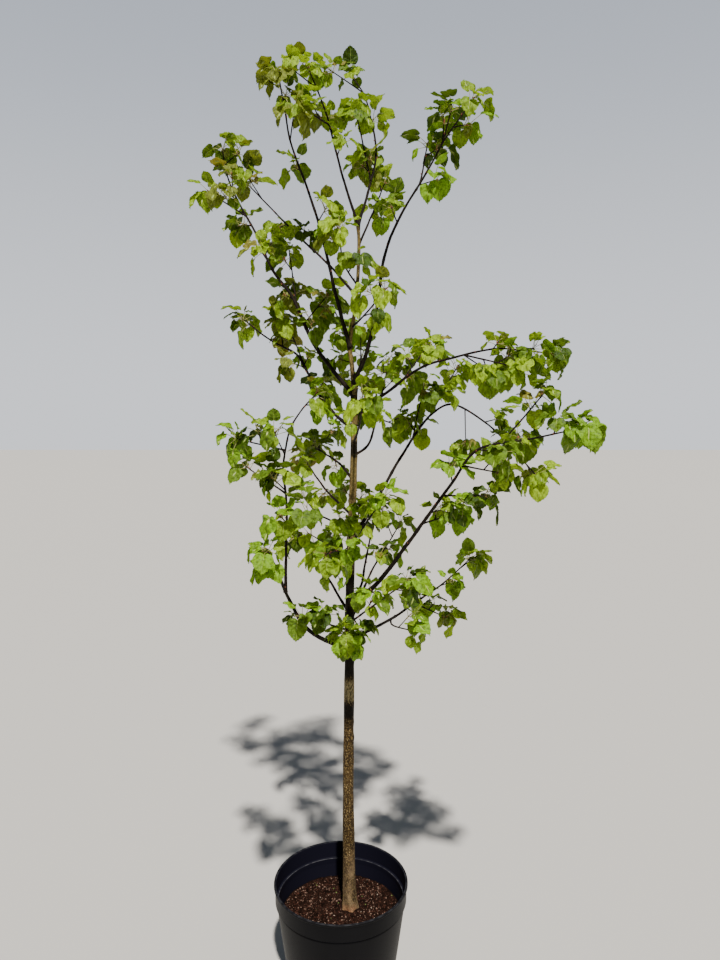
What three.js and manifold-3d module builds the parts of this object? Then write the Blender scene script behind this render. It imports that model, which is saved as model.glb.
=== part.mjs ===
// A lime sapling 2.7 m tall that stands in a nursery pot on its root ball of compost.
// Millimetres. X runs to the right, Y away from the front and Z up.
// The origin is the middle of the pot's flat underside.

import * as THREE from 'three';
import { mergeVertices } from 'three/addons/utils/BufferGeometryUtils.js';
import Module from 'manifold-3d';

const wasm = await Module();
wasm.setup();

// Driving dimensions

const CLEARANCE = 0.3;
const SEAT_GAP = 0.34;

const POT_HEIGHT = 330;
const POT_RIM_RADIUS = 200;
const POT_COLLAR_RADIUS = 196;
const POT_COLLAR_DEPTH = 52;
const POT_SHOULDER_RADIUS = 191;
const POT_FOOT_RADIUS = 155;
const POT_FOOT_ROUNDING = 8;
const POT_WALL = 3;
const POT_LIP_HEIGHT = 7;
const POT_LIP_SLOPE = 2;
const POT_SHOULDER_SLOPE = 8;
const POT_SIDES = 32;
const DRAIN_HOLES = 6;
const DRAIN_HOLE_RADIUS = 8;
const DRAIN_HOLE_SIDES = 8;
const DRAIN_CIRCLE_RADIUS = 122;
const DRILL_LENGTH = 12;

const COMPOST_EDGE_HEIGHT = 224;
const COMPOST_MOUND_HEIGHT = 22;
const COMPOST_MOUND_SPREAD = 105;
const COMPOST_UNEVENNESS = 2.5;
const COMPOST_WAVES = [23, 31];
const COMPOST_RINGS = 4;

const TRUNK_SIDES = 12;
const TRUNK_RING_STEP = 130;
const TRUNK_LINE_STEPS = 12;
const ROOT_FLARE_HEIGHT = 75;
const ROOT_FLARE_LOBES = 5;
const ROOT_FLARE_DEPTH = 0.13;
const ROOT_FLARE_TURN = 0.6;
const ROOT_FLARE_RINGS = [0, 10, 28, 50];

// The trunk's centre and thickness: height, x, y, thickness, from the soil to the fork.
const TRUNK_STATIONS = [
  [242, 27, 0, 48],
  [270, 26, 0, 42],
  [330, 25, 0, 38],
  [590, 22, 2, 32],
  [880, 25, 6, 29.5],
  [1160, 27, 8, 26.5],
  [1330, 31, 6, 23.5],
  [1590, 39, 2, 20],
  [1770, 41, 0, 16.5],
  [1850, 35, -2, 12.5],
  [1915, 29, -3, 11],
  [2030, 46, 0, 10],
  [2180, 54, 3, 9],
  [2240, 52, 3, 8],
];

// Limbs. Each leaves the limb named in on, at a height on the trunk or a share of another limb,
// passes through the places in via and ends at tip. thick gives its thickness at both ends.
// bare is the leafless share of its length, which is the bough; the rest is the stem of its mass
// of foliage. Forks are long side shoots of that stem.
const LIMBS = [
  { name: 'leader_left', on: 'trunk', at: 2236, thick: [8, 3.6], bare: 0.3,
    via: [[8, -8, 2370], [-37, -22, 2533]], tip: [-76, -29, 2625],
    forks: [{ at: 0.66, tip: [-72, -52, 2512] }] },
  { name: 'leader_right', on: 'trunk', at: 2236, thick: [8, 3.6], bare: 0.28,
    via: [[88, 28, 2366], [102, 45, 2444], [85, 60, 2551], [66, 72, 2615]], tip: [40, 80, 2655],
    forks: [{ at: 0.3, tip: [45, 28, 2552] }] },
  { name: 'left_rise', on: 'trunk', at: 1905, thick: [12, 3.6], bare: 0.44,
    via: [[-8, -20, 2040], [-48, -45, 2210], [-82, -55, 2315], [-126, -75, 2434],
      [-137, -96, 2502]],
    tip: [-150, -108, 2575] },
  { name: 'upper_left', on: 'trunk', at: 1768, thick: [13, 3.6], bare: 0.2,
    via: [[-72, 26, 1915], [-135, 42, 2050], [-190, 52, 2125], [-242, 66, 2236],
      [-300, 92, 2341], [-328, 112, 2411]],
    tip: [-340, 128, 2472],
    forks: [{ at: 0.31, tip: [-45, 75, 2050] }, { at: 0.38, tip: [-150, 120, 2195] },
      { at: 0.74, tip: [-366, 95, 2346] }] },
  { name: 'back_left_top', on: 'trunk', at: 2045, thick: [8, 3.6], bare: 0.38,
    via: [[-28, 68, 2140], [-119, 140, 2235]], tip: [-280, 265, 2415] },
  { name: 'right_leader', on: 'trunk', at: 1808, thick: [13, 3.6], bare: 0.56,
    via: [[72, -20, 1880], [100, -42, 1990], [125, -72, 2150], [167, -95, 2245],
      [224, -125, 2332], [264, -150, 2403]],
    tip: [282, -168, 2466],
    forks: [{ at: 0.76, tip: [232, -88, 2414] }, { at: 0.9, tip: [328, -178, 2486] }] },
  { name: 'back_right_top', on: 'trunk', at: 2186, thick: [6.5, 3.6], bare: 0.3,
    via: [[80, 80, 2260]], tip: [132, 265, 2425] },
  { name: 'mid_left', on: 'trunk', at: 1672, thick: [11, 3.6], bare: 0.22,
    via: [[-20, 32, 1725], [-64, 60, 1780], [-103, 85, 1853], [-128, 100, 1892],
      [-211, 140, 1939]],
    tip: [-294, 188, 2003],
    forks: [{ at: 0.42, tip: [-160, 150, 1985] }] },
  { name: 'low_left', on: 'trunk', at: 1031, thick: [14, 7], bare: 0.78,
    via: [[-88, -80, 1122], [-138, -148, 1236], [-160, -200, 1318]], tip: [-176, -232, 1368] },
  { name: 'left_upright', on: 'low_left', at: 0.69, thick: [9, 3.6], bare: 0.25,
    via: [[-134, -205, 1385], [-132, -205, 1500], [-141, -192, 1577], [-123, -185, 1680],
      [-98, -170, 1726]],
    tip: [-62, -150, 1768],
    forks: [{ at: 0.5, tip: [-225, -205, 1580] }, { at: 0.7, tip: [-258, -160, 1655] }] },
  { name: 'back_left', on: 'trunk', at: 1531, thick: [9, 3.6], bare: 0.35,
    via: [[0, 120, 1567], [-52, 250, 1592]], tip: [-110, 385, 1615] },
  { name: 'back_left_mid', on: 'trunk', at: 1431, thick: [9, 3.6], bare: 0.35,
    via: [[-43, 130, 1487]], tip: [-128, 325, 1575] },
  { name: 'pruned_shoot', on: 'trunk', at: 1170, thick: [9, 5], bare: 1,
    via: [[62, 30, 1225], [70, 52, 1270]], tip: [88, 98, 1350] },
  { name: 'main_right', on: 'trunk', at: 1158, thick: [15, 3.6], bare: 0.42,
    via: [[113, -46, 1254], [190, -106, 1374], [292, -196, 1541], [350, -250, 1632],
      [470, -285, 1660]],
    tip: [566, -325, 1684],
    forks: [{ at: 0.42, tip: [312, -110, 1452] }, { at: 0.54, tip: [378, -175, 1508] },
      { at: 0.66, tip: [400, -230, 1575] }, { at: 0.8, tip: [495, -300, 1765] }] },
  { name: 'mid_right', on: 'trunk', at: 1358, thick: [11, 3.6], bare: 0.36,
    via: [[92, 20, 1451], [177, 70, 1594], [267, 120, 1715], [325, 130, 1748], [420, 55, 1695]],
    tip: [530, -100, 1560],
    forks: [{ at: 0.4, tip: [245, 105, 1800] }, { at: 0.5, tip: [342, 135, 1850] }] },
  { name: 'upper_right', on: 'trunk', at: 1723, thick: [10, 3.6], bare: 0.2,
    via: [[132, -40, 1780], [218, -86, 1843], [320, -135, 1872], [405, -175, 1887]],
    tip: [530, -222, 1872],
    forks: [{ at: 0.3, tip: [238, -20, 1900] }, { at: 0.62, tip: [448, -250, 1835] }] },
  { name: 'back_right', on: 'trunk', at: 1602, thick: [8, 3.6], bare: 0.35,
    via: [[78, 40, 1628], [108, 125, 1713]], tip: [147, 320, 1876],
    forks: [{ at: 0.4, tip: [170, 150, 1685] }] },
  { name: 'low_right', on: 'trunk', at: 1064, thick: [11, 3.6], bare: 0.42,
    via: [[152, 50, 1116], [210, 85, 1146], [316, 150, 1200]], tip: [395, 185, 1262],
    forks: [{ at: 0.5, tip: [306, 100, 1110] }] },
  { name: 'low_spur', on: 'low_right', at: 0.3, thick: [5, 3.6], bare: 0,
    via: [[150, 45, 1100]], tip: [204, 30, 1086] },
  { name: 'front_right', on: 'trunk', at: 1345, thick: [8, 3.6], bare: 0.3,
    via: [[70, -100, 1420]], tip: [118, -235, 1510] },
  { name: 'back', on: 'trunk', at: 1190, thick: [10, 3.6], bare: 0.4,
    via: [[40, 180, 1320]], tip: [60, 405, 1430] },
  { name: 'back_right_low', on: 'trunk', at: 1110, thick: [9, 3.6], bare: 0.4,
    via: [[90, 150, 1230]], tip: [182, 340, 1340] },
  { name: 'back_left_low', on: 'trunk', at: 1140, thick: [9, 3.6], bare: 0.4,
    via: [[-55, 140, 1240]], tip: [-150, 310, 1335] },
  { name: 'back_mid', on: 'trunk', at: 1700, thick: [7, 3.6], bare: 0.35,
    via: [[50, 180, 1810]], tip: [62, 365, 1905] },
  { name: 'front_mid', on: 'trunk', at: 1640, thick: [7, 3.6], bare: 0.3,
    via: [[55, -140, 1690]], tip: [62, -300, 1755] },
  { name: 'front_left', on: 'trunk', at: 1364, thick: [7, 3.6], bare: 0,
    via: [[-24, -120, 1436]], tip: [-75, -255, 1475] },
  { name: 'front', on: 'trunk', at: 1318, thick: [8, 3.6], bare: 0,
    via: [[0, -160, 1360]], tip: [-24, -335, 1385] },
  { name: 'front_right_low', on: 'trunk', at: 1115, thick: [7, 3.6], bare: 0,
    via: [[95, -150, 1210]], tip: [165, -285, 1300] },
  { name: 'front_left_low', on: 'trunk', at: 1092, thick: [7, 3.6], bare: 0,
    via: [[-15, -90, 1135]], tip: [-92, -152, 1180] },
  { name: 'rosette', on: 'trunk', at: 1062, thick: [5, 3.6], bare: 0,
    via: [[20, -48, 1086]], tip: [18, -84, 1106] },
  { name: 'back_upper', on: 'trunk', at: 1840, thick: [6, 3.6], bare: 0,
    via: [[10, 150, 1960]], tip: [-30, 325, 2060] },
  { name: 'front_upper', on: 'trunk', at: 1960, thick: [5, 3.6], bare: 0,
    via: [[70, -80, 1985]], tip: [118, -190, 2030] },
  { name: 'front_top', on: 'trunk', at: 2075, thick: [5, 3.6], bare: 0,
    via: [[14, -70, 2120]], tip: [4, -165, 2180] },
];

const LIMB_STEP = 112;
const LIMB_COLLAR = 0.35;
const LIMB_COLLAR_LENGTH = 14;
const LIMB_TAPER = 0.8;
const FORK_THICK = [4.6, 3.4];
const OLD_BARK_THICKNESS = 9;

// The sides of a limb that is thicker than the first number of each pair.
const LIMB_SIDES = [[10, 8], [6, 6], [0, 4]];

const TUFT_SPACING = 100;
const SHOOT_PLACE = [0.25, 0.75];
const SPUR_LENGTH = [24, 50];
const LONG_SHOOT_LENGTH = [70, 115];
const LONG_SHOOT_EVERY = 4;
const SHOOT_THICK = 3;
const SHOOT_FORWARD = 0.7;
const SHOOT_LIFT = 0.25;
const KNOB_THICK = 6;
const END_ROW = 3;
const KNOB_ROW = 7;
const KNOB_INSET = 1.5;
const SECOND_EXTRA_SHARE = 0.1;
const LEAF_LENGTH = [58, 88];
const LEAF_WIDTH_SHARE = 0.86;
const LEAF_WIDEST_SHARE = 0.42;
const LEAF_THICKNESS = 1.6;
const LEAF_DROOP = [0.3, 1.0];
const LEAF_DROOP_EASED = 0.6;
const LEAF_FORWARD = [0, 0, 0.7, 1.4];
const LEAF_ROLL = [-0.5, 0.5];
const GOLDEN_ANGLE = Math.PI * (3 - Math.sqrt(5));

const BARK = { color: 0x6e5f3c, roughness: 0.85 };
const YOUNG_BARK = { color: 0x6a4a32, roughness: 0.7 };
const FOLIAGE_TINTS = [0x8fb32a, 0x9cc036, 0x7fa528, 0xa6c743, 0x6f9426];
const POT_PLASTIC = { color: 0x17181b, roughness: 0.5 };
const COMPOST_LOOK = { color: 0x3a241a, roughness: 1 };

// Numbers and directions

const UP = new THREE.Vector3(0, 0, 1);
const NEARLY_UPRIGHT = 0.05;
const SAME_POINT = 1e-4;
const SEED_SPREAD = 7919;
const SEED_START = 17;
const RANDOM_FACTOR = 16807;
const RANDOM_LIMIT = 2147483647;

// A repeatable random generator with values between 0 and 1.
function seeded(seed) {
  let state = seed * SEED_SPREAD + SEED_START;
  return () => {
    state = (state * RANDOM_FACTOR) % RANDOM_LIMIT;
    return state / RANDOM_LIMIT;
  };
}

function mix([low, high], share) {
  return low + (high - low) * share;
}

// Two directions square to a given one: the first level, the second as near upright as it can be.
function squareTo(direction) {
  const level = new THREE.Vector3().crossVectors(UP, direction);
  if (level.length() < NEARLY_UPRIGHT) level.set(1, 0, 0);
  level.normalize();
  const rising = new THREE.Vector3().crossVectors(direction, level).normalize();
  return [level, rising];
}

// Solids

function solidOf(geometry) {
  const bare = new THREE.BufferGeometry();
  bare.setAttribute('position', geometry.getAttribute('position'));
  bare.setIndex(geometry.getIndex());
  const merged = mergeVertices(bare, SAME_POINT);
  const corners = merged.getIndex().array;
  const kept = [];
  for (let i = 0; i < corners.length; i += 3) {
    const [a, b, c] = [corners[i], corners[i + 1], corners[i + 2]];
    if (a !== b && b !== c && c !== a) kept.push(a, b, c);
  }
  return new wasm.Manifold(new wasm.Mesh({
    numProp: 3,
    vertProperties: merged.getAttribute('position').array,
    triVerts: new Uint32Array(kept),
  }));
}

function geometryOf(solid) {
  const mesh = solid.getMesh();
  const geometry = new THREE.BufferGeometry();
  geometry.setAttribute('position', new THREE.BufferAttribute(mesh.vertProperties, 3));
  geometry.setIndex(new THREE.BufferAttribute(mesh.triVerts, 1));
  geometry.computeVertexNormals();
  return geometry;
}

// The largest body of a solid, with any scrap dropped and any sealed hollow filled.
function mainBody(solid) {
  const bodies = solid.decompose();
  return bodies.reduce((best, body) => (body.volume() > best.volume() ? body : best));
}

function indexedGeometry(points, faces) {
  const geometry = new THREE.BufferGeometry().setFromPoints(points);
  geometry.setIndex(faces);
  return geometry;
}

// A closed skin over rings of points, each ring as long as the next, with a fan over both ends.
function ringGeometry(rings) {
  const points = rings.flat();
  const sides = rings[0].length;
  const faces = [];
  for (let r = 0; r + 1 < rings.length; r += 1) {
    for (let s = 0; s < sides; s += 1) {
      const a = r * sides + s;
      const b = r * sides + ((s + 1) % sides);
      faces.push(a, b, b + sides, a, b + sides, a + sides);
    }
  }
  for (const [ring, first] of [[rings[0], 0], [rings.at(-1), (rings.length - 1) * sides]]) {
    const middle = new THREE.Vector3();
    for (const point of ring) middle.addScaledVector(point, 1 / sides);
    const centre = points.length;
    points.push(middle);
    for (let s = 0; s < sides; s += 1) {
      const a = first + s;
      const b = first + ((s + 1) % sides);
      faces.push(...(first === 0 ? [centre, b, a] : [centre, a, b]));
    }
  }
  return indexedGeometry(points, faces);
}

// A round tube through points with a radius at each; grow thickens it and lengthens both ends.
function tubeSolid(points, radii, sides, grow = 0) {
  const last = points.length - 1;
  const ways = points.map((point, i) => new THREE.Vector3()
    .subVectors(points[Math.min(i + 1, last)], points[Math.max(i - 1, 0)]).normalize());
  let [across] = squareTo(ways[0]);
  const rings = points.map((point, i) => {
    across = across.clone().addScaledVector(ways[i], -across.dot(ways[i])).normalize();
    const other = new THREE.Vector3().crossVectors(ways[i], across);
    const end = (i === last) - (i === 0);
    const centre = point.clone().addScaledVector(ways[i], end * grow);
    return Array.from({ length: sides }, (_, s) => {
      const angle = (2 * Math.PI * s) / sides;
      return centre.clone()
        .addScaledVector(across, (radii[i] + grow) * Math.cos(angle))
        .addScaledVector(other, (radii[i] + grow) * Math.sin(angle));
    });
  });
  return solidOf(ringGeometry(rings));
}

// Pot

function potInnerRadius(height) {
  const share = (height - POT_FOOT_ROUNDING) / (POT_HEIGHT - POT_COLLAR_DEPTH - POT_FOOT_ROUNDING);
  return mix([POT_FOOT_RADIUS, POT_SHOULDER_RADIUS], share) - POT_WALL;
}

function potSolid() {
  const collarFoot = POT_HEIGHT - POT_COLLAR_DEPTH;
  const shoulder = collarFoot - POT_SHOULDER_SLOPE;
  const outside = [
    [0, 0],
    [POT_FOOT_RADIUS - POT_FOOT_ROUNDING, 0],
    [POT_FOOT_RADIUS, POT_FOOT_ROUNDING],
    [POT_SHOULDER_RADIUS, shoulder],
    [POT_COLLAR_RADIUS, collarFoot],
    [POT_COLLAR_RADIUS, POT_HEIGHT - POT_LIP_HEIGHT - POT_LIP_SLOPE],
    [POT_RIM_RADIUS, POT_HEIGHT - POT_LIP_HEIGHT],
    [POT_RIM_RADIUS, POT_HEIGHT],
  ];
  const inside = [
    [POT_COLLAR_RADIUS - POT_WALL, POT_HEIGHT],
    [POT_COLLAR_RADIUS - POT_WALL, collarFoot + 1],
    [potInnerRadius(shoulder), shoulder + 1],
    [potInnerRadius(POT_FOOT_ROUNDING), POT_FOOT_ROUNDING],
    [POT_FOOT_RADIUS - POT_FOOT_ROUNDING, POT_WALL],
    [0, POT_WALL],
  ];
  const profile = [...outside, ...inside].map(([radius, height]) => (
    new THREE.Vector2(radius, height)));
  const body = new THREE.LatheGeometry(profile, POT_SIDES).rotateX(Math.PI / 2);
  let pot = solidOf(body);
  for (let i = 0; i < DRAIN_HOLES; i += 1) {
    const angle = (2 * Math.PI * (i + 0.5)) / DRAIN_HOLES;
    const drill = new THREE.CylinderGeometry(
      DRAIN_HOLE_RADIUS, DRAIN_HOLE_RADIUS, DRILL_LENGTH, DRAIN_HOLE_SIDES)
      .rotateX(Math.PI / 2)
      .translate(DRAIN_CIRCLE_RADIUS * Math.cos(angle), DRAIN_CIRCLE_RADIUS * Math.sin(angle), 0);
    pot = pot.subtract(solidOf(drill));
  }
  return pot;
}

// Root ball of compost, heaped a little round the trunk and flat under its foot.

const [FOOT_HEIGHT, FOOT_X, FOOT_Y] = TRUNK_STATIONS[0];

function compostHeight(x, y) {
  const fromTrunk = Math.hypot(x - FOOT_X, y - FOOT_Y) / COMPOST_MOUND_SPREAD;
  const mound = COMPOST_MOUND_HEIGHT * Math.exp(-fromTrunk * fromTrunk);
  const uneven = COMPOST_UNEVENNESS
    * Math.sin(x / COMPOST_WAVES[0]) * Math.cos(y / COMPOST_WAVES[1]);
  return Math.min(FOOT_HEIGHT - CLEARANCE, COMPOST_EDGE_HEIGHT + mound + uneven);
}

function compostSolid() {
  const floor = POT_WALL + CLEARANCE;
  const corner = POT_FOOT_ROUNDING + CLEARANCE;
  const ringAt = (radius, heightAt) => Array.from({ length: POT_SIDES }, (_, s) => {
    const angle = (2 * Math.PI * s) / POT_SIDES;
    const [x, y] = [radius * Math.cos(angle), radius * Math.sin(angle)];
    return new THREE.Vector3(x, y, heightAt(x, y));
  });
  const rings = [
    ringAt(POT_FOOT_RADIUS - POT_FOOT_ROUNDING - 2 * CLEARANCE, () => floor),
    ringAt(potInnerRadius(corner) - 2 * CLEARANCE, () => corner),
  ];
  const topRadius = potInnerRadius(COMPOST_EDGE_HEIGHT - COMPOST_UNEVENNESS) - 2 * CLEARANCE;
  for (let i = COMPOST_RINGS; i > 0; i -= 1) {
    rings.push(ringAt((topRadius * i) / COMPOST_RINGS, compostHeight));
  }
  return solidOf(ringGeometry(rings));
}

// Trunk

const trunkCurve = new THREE.CatmullRomCurve3(
  TRUNK_STATIONS.map(([height, x, y]) => new THREE.Vector3(x, y, height)), false, 'centripetal');
const trunkLine = trunkCurve.getPoints(TRUNK_STATIONS.length * TRUNK_LINE_STEPS);

// The trunk's centre and thickness at a height, between the two nearest points of its line.
function trunkPoint(height) {
  const found = trunkLine.findIndex((point, i) => i > 0 && point.z >= height);
  const above = found < 0 ? trunkLine.length - 1 : found;
  const [low, high] = [trunkLine[above - 1], trunkLine[above]];
  return new THREE.Vector3().lerpVectors(low, high, (height - low.z) / (high.z - low.z));
}

function trunkThickness(height) {
  const found = TRUNK_STATIONS.findIndex((station, i) => i > 0 && station[0] >= height);
  const above = found < 0 ? TRUNK_STATIONS.length - 1 : found;
  const [low, high] = [TRUNK_STATIONS[above - 1], TRUNK_STATIONS[above]];
  return mix([low[3], high[3]], (height - low[0]) / (high[0] - low[0]));
}

function trunkSolid(grow = 0) {
  const top = TRUNK_STATIONS.at(-1)[0];
  const heights = [...ROOT_FLARE_RINGS, ROOT_FLARE_HEIGHT].map((rise) => FOOT_HEIGHT + rise);
  const flareTop = heights.at(-1);
  const rest = top - flareTop;
  const steps = Math.round(rest / TRUNK_RING_STEP);
  for (let i = 1; i <= steps; i += 1) heights.push(flareTop + (rest * i) / steps);
  const rings = heights.map((height, i) => {
    const centre = trunkPoint(height);
    const end = (i === heights.length - 1) - (i === 0);
    const fade = Math.max(0, 1 - (height - FOOT_HEIGHT) / ROOT_FLARE_HEIGHT) ** 2;
    return Array.from({ length: TRUNK_SIDES }, (_, s) => {
      const angle = (2 * Math.PI * s) / TRUNK_SIDES;
      const lobe = Math.cos(ROOT_FLARE_LOBES * angle + ROOT_FLARE_TURN);
      const spread = 1 + ROOT_FLARE_DEPTH * fade * lobe;
      const radius = (trunkThickness(height) / 2) * spread + grow;
      return new THREE.Vector3(centre.x + radius * Math.cos(angle),
        centre.y + radius * Math.sin(angle), height + end * grow);
    });
  });
  return solidOf(ringGeometry(rings));
}

// Limbs

const curves = new Map();

function limbCurve({ on, at, via, tip }) {
  const root = on === 'trunk' ? trunkPoint(at) : curves.get(on).getPointAt(at);
  const places = [...(via ?? []), tip].map((place) => new THREE.Vector3(...place));
  return new THREE.CatmullRomCurve3([root, ...places], false, 'centripetal');
}

// The radius of a limb at a share of its length, with a swollen collar where it leaves its carrier.
function limbRadius(curve, thick, share) {
  const taper = mix(thick, share ** LIMB_TAPER) / 2;
  const collar = LIMB_COLLAR * Math.exp((-share * curve.getLength()) / LIMB_COLLAR_LENGTH);
  return taper * (1 + collar);
}

function limbSides(thickness) {
  return LIMB_SIDES.find(([least]) => thickness > least)[1];
}

function limbSolid(curve, thick, from, to, grow = 0) {
  const steps = Math.max(2, Math.round((curve.getLength() * (to - from)) / LIMB_STEP));
  const shares = Array.from({ length: steps + 1 }, (_, i) => (
    Math.min(1, mix([from, to], i / steps))));
  const points = shares.map((share) => curve.getPointAt(share));
  const radii = shares.map((share) => limbRadius(curve, thick, share));
  return tubeSolid(points, radii, limbSides(mix(thick, from)), grow);
}

// Foliage

// Where the leaves of one tuft grow on the three-sided knob at the end of a shoot: one on each
// side of its outer row, one on its end and a few on its inner row. They spread and droop.
function growTuft(end, shootWay, random) {
  const [level, rising] = squareTo(shootWay);
  const spin = 2 * Math.PI * random();
  const extraSide = Math.floor(3 * random());
  const places = [[2, 0], [2, 1], [2, 2], [END_ROW, 0], [1, extraSide]];
  if (random() < SECOND_EXTRA_SHARE) places.push([1, (extraSide + 1) % 3]);
  const leaves = places.map(([row, side]) => {
    const turn = row === END_ROW ? spin : spin + (2 * Math.PI * (side + 0.5)) / 3;
    const outward = level.clone().multiplyScalar(Math.cos(turn))
      .addScaledVector(rising, Math.sin(turn));
    const droop = mix(LEAF_DROOP, random()) * (1 - LEAF_DROOP_EASED * Math.max(0, outward.z));
    const way = outward.clone()
      .addScaledVector(shootWay, LEAF_FORWARD[row])
      .addScaledVector(UP, -droop)
      .normalize();
    const [across, face] = squareTo(way);
    const roll = mix(LEAF_ROLL, random());
    const length = mix(LEAF_LENGTH, random());
    const root = end.clone().addScaledVector(shootWay, (row - END_ROW) * KNOB_ROW)
      .addScaledVector(outward, row === END_ROW ? 0 : KNOB_INSET);
    return {
      row, side, root, way, length,
      face: face.multiplyScalar(Math.cos(roll)).addScaledVector(across, Math.sin(roll)),
    };
  });
  return { spin, leaves };
}

// The shoots of one stem: they leave it in turn all round it and lean forward and up, and one
// more ends the stem.
function growShoots(curve, from, random) {
  const length = curve.getLength() * (1 - from);
  const count = Math.max(1, Math.round(length / TUFT_SPACING));
  const firstTurn = 2 * Math.PI * random();
  const shoots = [];
  for (let i = 0; i < count; i += 1) {
    const share = from + ((1 - from) * (i + mix(SHOOT_PLACE, random()))) / count;
    const turn = firstTurn + i * GOLDEN_ANGLE;
    const stemWay = curve.getTangentAt(share);
    const [level, rising] = squareTo(stemWay);
    const way = stemWay.multiplyScalar(SHOOT_FORWARD)
      .addScaledVector(level, Math.cos(turn))
      .addScaledVector(rising, Math.sin(turn))
      .addScaledVector(UP, SHOOT_LIFT)
      .normalize();
    const long = i % LONG_SHOOT_EVERY === LONG_SHOOT_EVERY - 2;
    const reach = mix(long ? LONG_SHOOT_LENGTH : SPUR_LENGTH, random());
    shoots.push({ root: curve.getPointAt(share), way, reach });
  }
  const tipWay = curve.getTangentAt(1);
  const inside = curve.getPointAt(1).addScaledVector(tipWay, -SHOOT_THICK);
  shoots.push({ root: inside, way: tipWay, reach: SHOOT_THICK + 2 * KNOB_ROW });
  return shoots.map(({ root, way, reach }) => {
    const end = root.clone().addScaledVector(way, reach);
    return { root, end, way, ...growTuft(end, way, random) };
  });
}

// The corners of a leaf: left, rib and right where it is widest, then its tip.
function leafCorners({ root, way, face, length }) {
  const side = new THREE.Vector3().crossVectors(face, way);
  const half = (length * LEAF_WIDTH_SHARE) / 2;
  const middle = root.clone().addScaledVector(way, length * LEAF_WIDEST_SHARE);
  return [
    middle.clone().addScaledVector(side, half),
    middle.clone().addScaledVector(face, LEAF_THICKNESS),
    middle.clone().addScaledVector(side, -half),
    root.clone().addScaledVector(way, length),
  ];
}

// A leaf on its own, pointed at its root, for measuring how near it comes to others.
function bladeSolid(leaf) {
  const faces = [0, 1, 2, 0, 2, 3, 0, 3, 1, 4, 2, 1, 4, 3, 2, 4, 1, 3];
  return solidOf(indexedGeometry([leaf.root, ...leafCorners(leaf)], faces));
}

// Whether an edge of some faces passes through one of the others that doesn't hold its ends.
function facesCross(points, some, others) {
  const ray = new THREE.Ray();
  const hit = new THREE.Vector3();
  return some.some((face) => face.some((a, i) => {
    const b = face[(i + 1) % 3];
    ray.set(points[a], points[b].clone().sub(points[a]).normalize());
    return others.some((other) => !other.includes(a) && !other.includes(b)
      && ray.intersectTriangle(...other.map((corner) => points[corner]), false, hit)
      && hit.distanceTo(points[a]) <= points[b].distanceTo(points[a]));
  }));
}

// The faces of a leaf that grows out of a three-cornered place in a skin, turned so that they
// are twisted least. Its corners are added to the skin's points.
function leafFaces(points, place, leaf) {
  const corners = leafCorners(leaf);
  const match = (start) => corners.slice(0, 3).reduce((sum, corner, i) => (
    sum + points[place[(i + start) % 3]].distanceToSquared(corner)), 0);
  const start = [0, 1, 2].reduce((best, i) => (match(i) < match(best) ? i : best));
  const first = points.length;
  points.push(...corners);
  return [0, 1, 2].flatMap((i) => {
    const next = (i + 1) % 3;
    const [a, b] = [place[(i + start) % 3], place[(next + start) % 3]];
    return [[a, b, first + next], [a, first + next, first + i],
      [first + i, first + next, first + 3]];
  });
}

// A shoot and those of its leaves that can grow out of it without crossing, as one skin.
function shootSolid({ root, end, way, spin }, leaves) {
  const [level, rising] = squareTo(way);
  const ringAt = (centre, thick) => [0, 1, 2].map((side) => {
    const turn = spin + (2 * Math.PI * side) / 3;
    return centre.clone()
      .addScaledVector(level, (thick / 2) * Math.cos(turn))
      .addScaledVector(rising, (thick / 2) * Math.sin(turn));
  });
  const points = ringAt(root, SHOOT_THICK);
  for (const back of [2, 1, 0]) {
    points.push(...ringAt(end.clone().addScaledVector(way, -back * KNOB_ROW), KNOB_THICK));
  }
  const places = new Map([['3 0', [9, 10, 11]]]);
  const sides = [[0, 2, 1]];
  for (let row = 0; row < 3; row += 1) {
    for (let side = 0; side < 3; side += 1) {
      const a = 3 * row + side;
      const b = 3 * row + ((side + 1) % 3);
      sides.push([a, b, b + 3]);
      places.set(`${row} ${side}`, [a, b + 3, a + 3]);
    }
  }
  let skin = [...sides, ...places.values()];
  for (const leaf of leaves) {
    const place = places.get(`${leaf.row} ${leaf.side}`);
    const rest = skin.filter((face) => face !== place);
    const grown = leafFaces(points, place, leaf);
    const crosses = facesCross(points, grown, [...grown, ...rest])
      || facesCross(points, rest, grown);
    if (crosses) points.length -= 4;
    else skin = [...rest, ...grown];
  }
  return solidOf(indexedGeometry(points, skin.flat()));
}

function boxesMeet(a, b) {
  const [boxA, boxB] = [a.boundingBox(), b.boundingBox()];
  return [0, 1, 2].every((axis) => (
    boxA.min[axis] < boxB.max[axis] + CLEARANCE && boxB.min[axis] < boxA.max[axis] + CLEARANCE));
}

// Whether a solid keeps its clearance to all of the others.
function staysClear(solid, others) {
  return others.every((other) => (
    !boxesMeet(solid, other) || solid.minGap(other, 2 * CLEARANCE) >= CLEARANCE));
}

// A limb or stem with the limbs before it, and the clearance round them, cut out of it.
function cutClear(solid, limbs) {
  const touched = limbs.filter((other) => !staysClear(solid, [other.solid]));
  return mainBody(touched.reduce((cut, other) => cut.subtract(other.grown), solid));
}

// The curves of a mass's stem and forks, each with the share of its length where it begins.
function stemParts(limb) {
  const curve = curves.get(limb.name);
  const seat = limb.bare > 0 ? SEAT_GAP / curve.getLength() : 0;
  const forks = (limb.forks ?? []).map((fork) => (
    { curve: limbCurve({ ...fork, on: limb.name }), from: 0, thick: FORK_THICK }));
  return [{ curve, from: limb.bare + seat, thick: limb.thick }, ...forks];
}

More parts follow.
